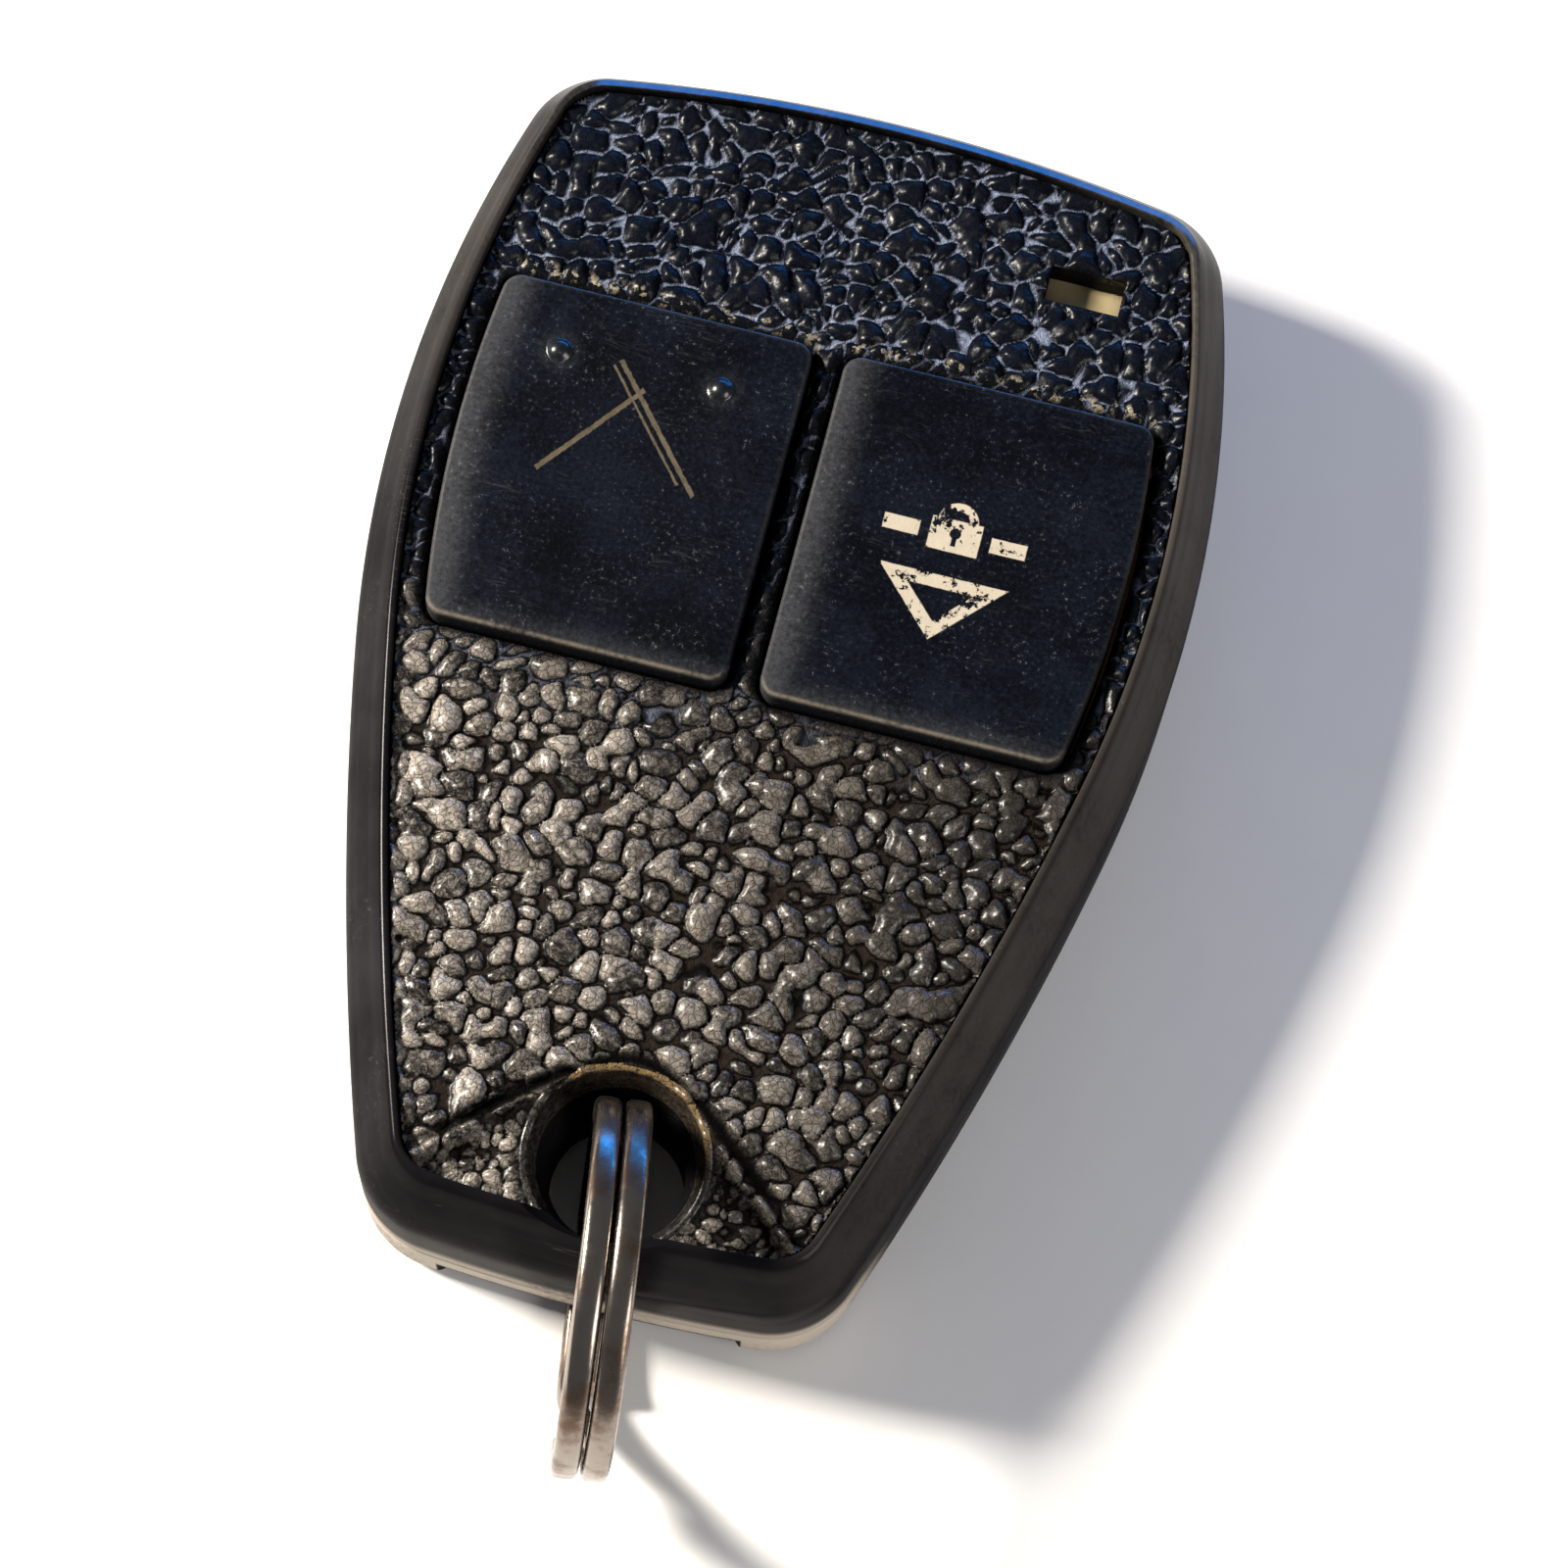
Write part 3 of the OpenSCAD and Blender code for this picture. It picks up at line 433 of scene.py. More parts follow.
class Paint:
    """A material, and the nodes that give it its colour, gloss and fine relief."""

    def __init__(self, name, **constants):
        self.material = bpy.data.materials.new(name)
        self.material.use_nodes = True
        self.tree = self.material.node_tree
        self.shader = self.tree.nodes["Principled BSDF"]
        for socket, number in constants.items():
            self.shader.inputs[socket.replace("_", " ")].default_value = number
        metres = self.node("TexCoord").outputs["Object"]
        scaled = self.node("VectorMath", {"operation": "SCALE"}, {0: metres, "Scale": 1 / MM})
        self.place = scaled.outputs[0]
        split = self.node("SeparateXYZ", {}, {0: self.place})
        self.x, self.y = (Value(self, split.outputs[k]) for k in (0, 1))

    def node(self, kind, settings=None, inputs=None):
        """Adds a node: its settings first, then the values or links of its sockets."""
        made = self.tree.nodes.new("ShaderNode" + kind)
        for key, setting in (settings or {}).items():
            setattr(made, key, setting)
        for key, feed in (inputs or {}).items():
            self.feed(made.inputs[key], feed)
        return made

    def feed(self, socket, source):
        """Links a socket to what feeds it, or sets its number or colour."""
        if isinstance(source, Value):
            self.tree.links.new(source.socket, socket)
        elif isinstance(source, bpy.types.NodeSocket):
            self.tree.links.new(source, socket)
        else:
            socket.default_value = source

    def math(self, operation, *terms):
        """Result of one Math node."""
        return Value(self, self.node("Math", {"operation": operation}, dict(enumerate(terms))).outputs[0])

    def low(self, a, b):
        """Smaller of two values."""
        return self.math("MINIMUM", a, b)

    def high(self, a, b):
        """Larger of two values."""
        return self.math("MAXIMUM", a, b)

    def step(self, value, low, high, start=0.0, end=1.0):
        """Smooth rise from start to end while a value goes from low to high."""
        return Value(self, self.node("MapRange", {"interpolation_type": "SMOOTHSTEP"}, {
            "Value": value, "From Min": low, "From Max": high, "To Min": start, "To Max": end,
        }).outputs[0])

    def mix(self, part, a, b):
        """Blend of two colours, each a socket or three numbers."""
        a, b = ((*colour, 1) if isinstance(colour, tuple) else colour for colour in (a, b))
        return self.node("Mix", {"data_type": "RGBA"}, {0: part, 6: a, 7: b}).outputs[2]

    def noise(self, size, detail=2.0, roughness=0.5, stretch=(1, 1, 1), turn=0.0, distortion=0.0):
        """Cloudy noise with features of a size in millimetres, stretched and turned in the face's plane."""
        where = self.node("Mapping", {}, {
            "Vector": self.place, "Rotation": (0, 0, np.radians(turn)), "Scale": [1 / s for s in stretch],
        }).outputs[0]
        return Value(self, self.node("TexNoise", {}, {
            "Vector": where, "Scale": 1 / size, "Detail": detail, "Roughness": roughness,
            "Distortion": distortion,
        }).outputs[0])

    def cracks(self, size, bend, width):
        """Lines between irregular cells of a size in millimetres, bent by clouds of about that size."""
        cloud = self.node("TexNoise", {}, {"Vector": self.place, "Scale": 0.7 / size}).outputs["Color"]
        bent = self.node("VectorMath", {"operation": "MULTIPLY_ADD"}, {
            0: cloud, 1: (bend,) * 3, 2: self.place,
        }).outputs[0]
        cell = self.node("TexVoronoi", {"feature": "DISTANCE_TO_EDGE"}, {"Vector": bent, "Scale": 1 / size})
        return 1 - self.step(cell.outputs["Distance"], 0.0, width)

    def stored(self, name):
        """Number that the mesh stores at its points."""
        return Value(self, self.node("Attribute", {"attribute_name": name}).outputs["Fac"])

    def hairs(self, size, turn, length=40, width=0.012):
        """Fine straight scratches in one direction, broken up along their length."""
        line = self.noise(size, 1, 0.5, (length, 1, 1), turn)
        return 1 - self.step(abs(line - 0.5), 0, width)

    def finish(self, colour, roughness, relief=None, depth=1.0, **more):
        """Feeds the shader: colour, roughness, relief in millimetres and any other socket."""
        self.feed(self.shader.inputs["Base Color"], colour)
        self.feed(self.shader.inputs["Roughness"], roughness)
        for socket, source in more.items():
            self.feed(self.shader.inputs[socket.replace("_", " ")], source)
        if relief is not None:
            bump = self.node("Bump", {}, {"Height": relief, "Distance": MM, "Strength": depth})
            self.feed(self.shader.inputs["Normal"], bump.outputs[0])
        return self


def case_plastic(name):
    """Satin black plastic: a thin gloss that is stronger on the crest, fine scratches, worn edges, and paler
    painted light where the mesh stores it.
    """
    black, soot, scratched = (0.0034, 0.0032, 0.0039), (0.0074, 0.0064, 0.0074), (0.09, 0.08, 0.075)
    bare, dust_and_painted_light = (0.17, 0.15, 0.13), (0.44, 0.39, 0.33)
    paint = Paint(name, Specular_IOR_Level=0.0, Coat_Roughness=0.2)
    cloud = paint.noise(6, 4, 0.6)
    speck = paint.noise(0.35, 3, 0.6)
    hairs = paint.hairs(0.5, 78) * paint.step(paint.noise(5, 2), 0.5, 0.62)
    edge = paint.stored("wear")
    worn = edge * paint.step(speck + cloud * 0.5, 0.6, 1.05)
    # Painted light: pale bands where the bright floor lights the case at the ring end, and a painted sheen over a
    # dusting on the side bevels
    scuff = paint.stored("scuff") * paint.step(speck * 0.7 + cloud, 0.35, 0.9)
    nick = paint.stored("nick") * paint.step(paint.noise(0.9, 4, 0.7, (0.6, 2.2, 2.2), 12), 0.57, 0.68)
    colour = paint.mix(paint.step(cloud, 0.35, 0.7), black, soot)
    colour = paint.mix(hairs * 0.25, colour, scratched)
    colour = paint.mix(worn * 0.12, colour, bare)
    colour = paint.mix(scuff, colour, dust_and_painted_light)
    gloss = paint.low(0.05 + cloud * 0.16 + edge, 1.0)
    relief = speck * 0.02 - nick * 0.25 - hairs * 0.012
    return paint.finish(colour, 0.6, relief, 0.7, Coat_Weight=gloss)


def grained_leather(name):
    """Pebbled black plastic: towards the ring end painted as lit, paler and darker to the right as painted shade;
    towards the wide end painted as in shade, near black with a bluish painted sky reflection and grey-blue grooves
    from a dusting and a painted sky reflection.
    """
    dark_skin, pale_skin, cracked = (0.016, 0.0142, 0.0125), (0.42, 0.372, 0.322), (0.010, 0.009, 0.008)
    shaded, crease_painted_shadow, gap_brown = (0.021, 0.019, 0.0175), (0.0025, 0.002, 0.002), (0.018, 0.0135, 0.011)
    black, blue_black, dust_and_painted_light = (0.002, 0.003, 0.006), (0.005, 0.0068, 0.0125), (0.225, 0.262, 0.37)
    smooth_black, groove_painted_shade = (0.005, 0.005, 0.0055), (0.003, 0.003, 0.003)
    lip_brown, lip_gold, painted_glint = (0.075, 0.054, 0.032), (0.19, 0.128, 0.06), (0.30, 0.265, 0.19)
    paint = Paint(name, Specular_IOR_Level=0.0, Coat_Roughness=0.31)
    border, lip, tint, scored = (paint.stored(key) for key in ("border", "lip", "tint", "groove"))
    crease = paint.noise(0.42, 5, 0.72, distortion=0.9)
    crack = paint.cracks(0.42, 0.35, 0.12)
    cloud = paint.noise(6, 3, 0.55)
    # Painted light: the lower half, towards the ring end, is painted as lit and the upper half as in shade; the
    # lit half is also painted darker to the right as painted shade
    painted_lit_half = paint.step(paint.y + cloud * 9 - paint.x * 0.10, 9, -1)
    shade = paint.step(paint.x + paint.y * 0.35 + cloud * 9, -17, 19, 0.0, 0.92)
    # Painted shadow: a black line at the foot of each pebble, in the crease between pebbles
    gap = 1 - paint.step(border, 0.0, 0.085)
    bed = 1 - paint.step(border, -0.06, -0.015)
    lit_pebbles = paint.mix(paint.step(tint * 0.3 + crease, 0.42, 0.88), dark_skin, pale_skin)
    lit_pebbles = paint.mix(crack * 0.5, lit_pebbles, cracked)
    lit_pebbles = paint.mix(shade, lit_pebbles, shaded)
    low = paint.mix(bed, paint.mix(gap, lit_pebbles, crease_painted_shadow), gap_brown)
    # Upper half: near-black tops with a bluish painted sky reflection, and a grey-blue network in the grooves from
    # a dusting and a painted sky reflection
    line = 1 - paint.step(paint.stored("seam") + crease * 0.04, 0.025, 0.1)
    line = line * paint.step(border, -0.12, -0.08) * paint.step(cloud * 0.4 + crease, 0.4, 0.7)
    high = paint.mix(line, paint.mix(tint * 0.5 + crease * 0.4, black, blue_black), dust_and_painted_light)
    colour = paint.mix(painted_lit_half, high, low)
    # Calm edges by the rim, keys, lamp and eye: smooth black plastic, with painted shade where they drop into the
    # openings
    colour = paint.mix(paint.stored("smoothed") * 0.8, colour, smooth_black)
    # Painted shade: the groove round the scoop's bell is painted black
    colour = paint.mix(scored, colour, groove_painted_shade)
    colour = paint.mix(lip * paint.step(crease + cloud * 0.4, 0.42, 0.9) * 0.7, colour, lip_brown)
    colour = paint.mix(paint.step(lip, 0.82, 1.0) * paint.step(crease, 0.3, 0.6), colour, lip_gold)
    # Painted highlight: pale specks on the grain just above the keys, where light catches the edge of the openings
    fringe = paint.stored("fringe") * paint.step(crease * 0.5 + paint.noise(0.6, 2), 0.80, 0.88)
    colour = paint.mix(fringe, colour, painted_glint)
    gloss = (0.44 + painted_lit_half * (0.56 - shade * 0.26 - gap * 0.25) - gap * 0.35) * (1 - scored)
    gloss = gloss * (1 - crack * 0.6) * paint.step(crease, 0.36, 0.6, 0.3, 1.0)
    return paint.finish(colour, 0.55, crease * 0.4 - crack * 0.08, 0.85, Coat_Weight=gloss)


def key_plastic(name, mark):
    """Matt black plastic with a mottled dusting, faint scuffing, margins painted paler as painted light over a
    dusting, glossy edges and one mark.

    The mark is a function of the paint that gives the share of the face it covers, its colour and relief.
    """
    black, mottled, margin = (0.0002, 0.0004, 0.0014), (0.0036, 0.0056, 0.0108), (0.038, 0.039, 0.043)
    lint, bare = (0.12, 0.117, 0.115), (0.15, 0.13, 0.10)
    paint = Paint(name, Specular_IOR_Level=0.05, Coat_Roughness=0.24)
    cloud = paint.noise(4.5, 4, 0.6)
    dust_and_painted_sheen = paint.noise(0.24, 4, 0.72)
    speck = paint.step(dust_and_painted_sheen, 0.60, 0.71) * paint.step(paint.noise(3, 4, 0.65), 0.38, 0.60)
    scuff = paint.hairs(0.45, 35, 12, 0.010) + paint.hairs(0.5, -55, 10, 0.010)
    scuff = (scuff + paint.hairs(0.4, 80, 14, 0.008)) * paint.step(paint.noise(2.6, 3, 0.6), 0.52, 0.66)
    # Painted light: the left and near margins, and a thin line at the right edge, are painted paler, broken up by
    # a dusting
    painted_margin_haze = paint.stored("edge") * (cloud * 0.5 + dust_and_painted_sheen * 1.6 - 0.1)
    worn = paint.stored("wear") * paint.step(cloud + paint.noise(0.3, 3) * 0.6, 0.55, 0.95)
    cover, tint, relief = mark(paint)
    colour = paint.mix(paint.step(dust_and_painted_sheen * 0.9 + cloud * 0.6, 0.58, 0.98), black, mottled)
    colour = paint.mix(paint.step(painted_margin_haze, 0.12, 1.25), colour, margin)
    colour = paint.mix(speck * 0.6 + scuff * 0.08, colour, lint)
    colour = paint.mix(worn * 0.7, colour, bare)
    colour = paint.mix(cover, colour, tint)
    relief = dust_and_painted_sheen * 0.03 + scuff * 0.006 + relief
    return paint.finish(colour, 0.5 + cloud * 0.16, relief, 0.8, Coat_Weight=paint.stored("gloss"))


def line_gap(paint, start, end):
    """Distance from a straight line between two points of the face."""
    run = np.subtract(end, start)
    length = np.hypot(*run)
    ex, ey = run / length
    along = (paint.x - start[0]) * ex + (paint.y - start[1]) * ey
    across = abs((paint.y - start[1]) * ex - (paint.x - start[0]) * ey)
    past = abs(along - length / 2) - length / 2
    return paint.high(across, past)


def unlock_mark(paint):
    """Mark on the left key: three old scratches that cross below the pips."""
    dark_tan, pale_tan = (0.028, 0.022, 0.013), (0.115, 0.095, 0.066)
    scratches = (
        ((-10.41, 14.2), (-5.09, 7.95), 0.16),
        ((-10.75, 13.9), (-6.0, 8.35), 0.09),
        ((-9.0, 12.86), (-13.22, 7.5), 0.17),
    )
    ragged = paint.noise(0.3, 3, 0.6) * 0.16
    scored = 0.0
    for start, end, half in scratches:
        gap = line_gap(paint, start, end) + ragged
        scored = paint.high(scored, 1 - paint.step(gap, half * 0.7 + 0.06, half + 0.1))
    return scored, paint.mix(paint.noise(0.5, 3), dark_tan, pale_tan), scored * -0.08


def lock_mark(paint):
    """Mark on the right key: a worn print of a padlock between two bars, over a triangle."""
    dark_cream, pale_cream = (0.34, 0.295, 0.225), (0.46, 0.41, 0.325)
    mark_x, mark_y, row_y = 8.7, 9.75, -0.55
    body_w, body_h = 2.7, 1.8
    shackle_y, shackle_r, shackle_t = 0.25, 0.85, 0.22
    bar_x, bar_half_w, bar_half_h = 2.85, 0.95, 0.42
    arrow_y, arrow_top, arrow_tip, arrow_t = -4.05, 1.25, 2.35, 0.36
    slope = np.array([3.45, 3.6]) / np.hypot(3.45, 3.6)
    x, y = paint.x - mark_x, paint.y - mark_y

    def slab(cy, w, h):
        """Distance outside a rectangle on the middle line."""
        return paint.high(abs(x) - w / 2, abs(y - cy) - h / 2)

    def disc(cy, r):
        """Distance outside a circle on the middle line."""
        return (x ** 2 + (y - cy) ** 2) ** 0.5 - r

    shackle = paint.high(abs(disc(shackle_y, shackle_r)) - shackle_t, 0.2 - y)
    keyhole = paint.low(disc(-0.4, 0.3), slab(-0.75, 0.26, 0.7))
    lock = paint.high(paint.low(slab(row_y, body_w, body_h), shackle), -1 * keyhole)
    bars = paint.high(abs(abs(x) - bar_x) - bar_half_w, abs(y - row_y) - bar_half_h)
    v = paint.y - (mark_y + arrow_y)
    wedge = paint.high(v - arrow_top, abs(x + 0.05) * slope[1] - (v + arrow_tip) * slope[0])
    shape = paint.low(paint.low(lock, bars), abs(wedge + arrow_t) - arrow_t)
    crumb = paint.noise(0.55, 5, 0.72)
    chips = paint.step(crumb + (paint.noise(2.2, 2) - 0.5) * 0.5, 0.42, 0.455)
    ink = (1 - paint.step(shape + (crumb - 0.5) * 0.1, -0.03, 0.03)) * chips
    return ink, paint.mix(paint.noise(1.2, 3), dark_cream, pale_cream), ink * 0.012


def nickel(name):
    """Nickel plating of uneven gloss, brown with tarnish in places."""
    bright, brown = (0.28, 0.245, 0.215), (0.14, 0.095, 0.07)
    paint = Paint(name)
    tarnish = paint.step(paint.noise(2.4, 4, 0.65), 0.42, 0.68)
    roughness = 0.14 + paint.noise(0.6, 4, 0.65) * 0.16 + tarnish * 0.1
    relief = paint.noise(0.2, 3, 0.6) * 0.012
    return paint.finish(paint.mix(tarnish, bright, brown), roughness, relief, 0.5, Metallic=1.0)


def lamp_epoxy(name):
    """Cloudy cream epoxy of the lamp."""
    amber, cream = (0.36, 0.26, 0.125), (0.54, 0.43, 0.25)
    paint = Paint(name, Subsurface_Weight=0.15, Coat_Weight=0.3)
    cloud = paint.noise(1.1, 3, 0.55)
    relief = paint.noise(0.2, 2) * 0.01
    return paint.finish(paint.mix(cloud, amber, cream), 0.32 + cloud * 0.15, relief, 0.4)


def inner_plain(name, dark, pale, roughness, metallic=0.0, size=0.8):
    """Finish of a small inner piece: two close colours in fine clouds, with the same fine relief."""
    paint = Paint(name)
    cloud = paint.noise(size, 4, 0.6)
    colour = paint.mix(cloud, dark, pale)
    return paint.finish(colour, roughness + cloud * 0.15, cloud * 0.02, 0.4, Metallic=metallic)


# Pieces

def bevelled_profile(path):
    """Profile of the upper case from its lower edge, over wall, bevel and crest, down to the deck.

    The bevel is a share of the rim's width, and the wide end is cut by a slope. The gloss of the crest and
    of that cut comes with it.
    """
    edge = rim_width(path[:, 1])
    crest = edge - CREST_W
    rise = CREST_Z - BEVEL_Z
    foot = np.array([[0.25, JOINT_Z + SEAM], [0.1, JOINT_Z + SEAM], [0, JOINT_Z + SEAM + 0.12]])
    wall = np.column_stack([np.zeros(8), np.linspace(JOINT_Z + 0.3, BEVEL_Z - 1.3, 8)])
    turn = curve([0, BEVEL_Z - 0.9], [0, BEVEL_Z + 0.05], [0.24, BEVEL_Z + 0.24 * rise], 10)
    slope = np.linspace(0.3, 0.58, 5)
    bevel = np.column_stack([slope, BEVEL_Z + slope * rise + 0.10 * np.sin(np.pi * slope)])
    brow = curve([0.64, BEVEL_Z + 0.64 * rise + 0.09], [0.88, CREST_Z], [1.05, CREST_Z], 13)
    lower = np.vstack([foot, wall])
    upper = np.vstack([turn, bevel, brow])
    inner = np.vstack([
        curve([-0.13, CREST_Z], [0, CREST_Z], [0, CREST_Z - 0.2], 6),
        [[0, CREST_Z - 0.6], [0, PANEL_Z]],
    ])
    insets = np.vstack([
        np.repeat(lower[:, :1], len(path), 1), upper[:, :1] * crest[None], inner[:, :1] + edge[None]
    ])
    heights = np.concatenate([lower[:, 1], upper[:, 1], inner[:, 1]])[:, None]
    wide_end = smooth(path[:, 1], TOP_Y - 6, TOP_Y - 1.5)
    over = heights - CREST_Z + WIDE_SLOPE * (edge[None] - insets)
    gloss = hump(CREST_Z - heights, 0.14) * (0.03 + 0.5 * smooth(path[:, 1], 14, 28))
    facet = 0.3 + 0.7 * smooth(over, -0.12, 0.02)
    gloss = np.maximum(gloss, wide_end * facet * smooth(heights, BEVEL_Z - 0.3, BEVEL_Z))
    return insets, heights - wide_end * np.clip(over, 0, None), gloss


def inside_of_case(inset, low=None, high=None, count=240):
    """Outline of the case moved in, cut off straight at a lower or an upper place along Y."""
    path, inward = case_path(count)
    line = path + np.broadcast_to(inset, len(path))[:, None] * inward
    if low is not None:
        line = line[line[:, 1] > low]
    if high is not None:
        line = line[line[:, 1] < high]
    return line


def upper_case():
    """Upper case: the bevelled profile carried round the outline, with the openings cut out of it."""
    path, inward = case_path(900)
    insets, heights, gloss = bevelled_profile(path)
    x, y = path.T
    nick = smooth(-x, 8, 16) * smooth(y, -24, -14) * hump(heights - BEVEL_Z - 0.9, 0.45)
    # Painted light: the foot and the side wall at the ring end are painted pale, as lit by the bright floor in
    # front
    foot_scuff = 0.8 * smooth(-y, 26, 31) * (1 - smooth(heights, JOINT_Z + 0.9, JOINT_Z + 1.5))
    wall_scuff = 0.05 * smooth(-y, 22, 29) * (1 - smooth(heights, 6.5, 9.0))
    # A dusting with a painted sheen: the side bevels are painted paler, along the right side and more towards the
    # wide end, and on the left towards the wide end
    right_dust_and_sheen = 0.048 * smooth(x, 8, 18) * (1 + smooth(y, -4, 18))
    left_dust_and_sheen = 0.025 * smooth(-x, 8, 18) * smooth(y, 2, 18)
    dust_and_painted_sheen = (right_dust_and_sheen + left_dust_and_sheen) * smooth(heights, BEVEL_Z - 0.5, BEVEL_Z + 0.3)
    scuff = np.maximum(np.maximum(foot_scuff, wall_scuff), dust_and_painted_sheen)
    rows = carried(path, inward, insets, heights)
    mesh = capped_shell("upper_case_shell", rows, wear=gloss, nick=nick, scuff=scuff)
    deck = PANEL_Z - DECK_T
    key_hole = key_path(-KEY_GAP, 160)[0]
    lamp_hole = LAMP_C + LAMP_SIZE / 2 * np.array([[-1, 1], [1, 1], [1, -1], [-1, -1]])
    collar = inside_of_case(rim_width(case_path(400)[0][:, 1]), high=COLLAR_Y + PANEL_GAP, count=400)
    mesh = cut_out(mesh, [
        prism("cavity", inside_of_case(WALL_T, low=BULKHEAD_Y), JOINT_Z - 1, deck),
        prism("collar_pocket", collar, COLLAR_Z, PANEL_Z + 0.1),
        prism("right_hole", key_hole, deck - 1, PANEL_Z + 1),
        prism("left_hole", (key_hole * [-1, 1])[::-1], deck - 1, PANEL_Z + 1),
        prism("lamp_hole", lamp_hole, deck - 1, PANEL_Z + 1),
        turned("eye", [0, BORE_Y], [
            [BORE_R, JOINT_Z - 1], [BORE_R, FLARE_Z], [MOUTH_R, MOUTH_Z], [MOUTH_R + 0.25, MOUTH_Z + 0.2],
            [MOUTH_R + 0.9, CREST_Z], [MOUTH_R + 2, CREST_Z + 1],
        ]),
    ])
    piece("upper_case_shell", mesh, "fob", "upper_case", case_plastic("case_plastic"))


def rear_cover():
    """Rear cover: a profile with a rounded lower edge carried round the outline, then hollowed out.

    A sunk hole takes the screw, and a sector below the eye is the relief that the ring swings in.
    """
    path, inward = case_path(900)
    turn = np.linspace(0, np.pi / 2, 14)
    top = JOINT_Z - SEAM / 3
    wall = np.linspace(JOINT_Z - 0.6, BACK_ROUND + 0.3, 4)
    heights = np.concatenate([[top, top, top - 0.1], wall, BACK_ROUND * (1 - np.sin(turn))])[:, None]
    insets = np.concatenate([[0.25, 0.1, 0], np.zeros(4), BACK_INSET * (1 - np.cos(turn))])
    rows = carried(path, inward, np.repeat(insets[:, None], len(path), 1), heights)
    wear = 0.25 * hump(heights - 0.5, 0.5)
    # Painted light: the wall is painted pale at the ring end, as lit by the bright floor in front, and faintly all
    # round
    scuff = (0.03 + 0.97 * smooth(-path[:, 1], 25, 30)) * smooth(heights, 0.2, 0.9)
    mesh = capped_shell("rear_cover_shell", rows, wear=wear, nick=0, scuff=scuff)
    reach = BORE_Y - END_Y + 1
    spread = RELIEF_W + reach * np.tan(RING_SWING)
    far_y = BORE_Y - reach
    sector = np.array([[-RELIEF_W, BORE_Y], [RELIEF_W, BORE_Y], [spread, far_y], [-spread, far_y]])
    relief_r = BORE_R + BACK_INSET / 2
    well_r = HEAD_R + HOLE_GAP
    mesh = cut_out(mesh, [
        prism("tray", inside_of_case(WALL_T + 1, low=BULKHEAD_Y), FLOOR_T, JOINT_Z + 1),
        prism("relief_sector", sector, -1, RELIEF_H),
        turned("relief_round", [0, BORE_Y], [[relief_r, -1.1], [relief_r, RELIEF_H]]),
        turned("throat", [0, BORE_Y], [[BORE_R, 0], [BORE_R, JOINT_Z + 1]]),
        turned("head_well", [0, SCREW_Y], [[well_r, -1], [well_r, screw_low[2] + HEAD_T]]),
    ])
    piece("rear_cover_shell", mesh, "fob", "rear_cover", case_plastic("cover_plastic"))


def pebbles(x, y):
    """Height of a pebbled grain, distance inside the pebbles, a number per pebble, and distance from a seam.

    Each point belongs to the nearest of scattered seeds of different weights, and a few neighbours are
    merged. The height rises steeply with the distance from the border between two pebbles, rounded where
    three meet, and leans a little to one side of each pebble.
    """
    sharp, weight, merged_share, dome_reach = 11, 0.42, 0.13, 0.56
    sway, wobble, least_gap, more_gap = 0.5, 0.34, 0.012, 0.07
    pitch, size = PEBBLE_PITCH, 128
    x, y = (
        x + sway * (lattice_noise(x, y, 1.9, 1) - 0.5) + wobble * (lattice_noise(x, y, 0.7, 8) - 0.5),
        y + sway * (lattice_noise(x, y, 1.9, 2) - 0.5) + wobble * (lattice_noise(x, y, 0.7, 9) - 0.5),
    )
    table = np.random.default_rng(7).random((size, size, 6))
    i, j = np.floor(x / pitch).astype(int), np.floor(y / pitch).astype(int)
    around = [(a, b) for a in range(-2, 3) for b in range(-2, 3)]
    lots = np.array([table[(i + a) % size, (j + b) % size] for a, b in around])
    names = np.array([((i + a) % size) * size + (j + b) % size for a, b in around])
    px = np.array([i + a for a, b in around]) * pitch + lots[..., 0] * pitch
    py = np.array([j + b for a, b in around]) * pitch + lots[..., 1] * pitch
    gaps = np.hypot(x - px, y - py) - weight * lots[..., 2] ** 2
    first = gaps.argmin(0)[None]
    mine = np.take_along_axis(names, first, 0)
    # A fixed number from 0 to 1 for each pair of pebbles says whether they are merged
    chance = np.sin((mine + names) * 12.9898 + (mine * names % 9973) * 0.7233) * 43758.5453
    joined = chance - np.floor(chance) < merged_share
    apart = (gaps - gaps.min(0)) / 2
    apart = np.where((names == mine) | joined, 9, apart)
    border = -np.log(np.exp(-sharp * apart).sum(0)) / sharp
    seam = apart.min(0)
    border = border - least_gap - more_gap * lattice_noise(x, y, 2.3, 3) ** 2
    shoulder = np.clip(border / dome_reach, 0, 1)
    lot = np.take_along_axis(lots, first[..., None], 0)[0]
    lean_x = (x - np.take_along_axis(px, first, 0)[0]) * (lot[:, 3] - 0.5)
    lean_y = (y - np.take_along_axis(py, first, 0)[0]) * (lot[:, 4] - 0.5)
    wrinkle = lattice_noise(x, y, 0.3, 5) + 0.6 * lattice_noise(x, y, 0.17, 6) - 0.8
    height = np.sqrt(1 - (1 - shoulder) ** 2) * (0.72 + 0.28 * lot[:, 5])
    swell = 0.5 * (1 - np.exp(-np.clip(border, 0, None) / 0.4))
    height = height + swell + shoulder * (lean_x + lean_y + 0.55 * wrinkle)
    return height, border, lot[:, 5], seam


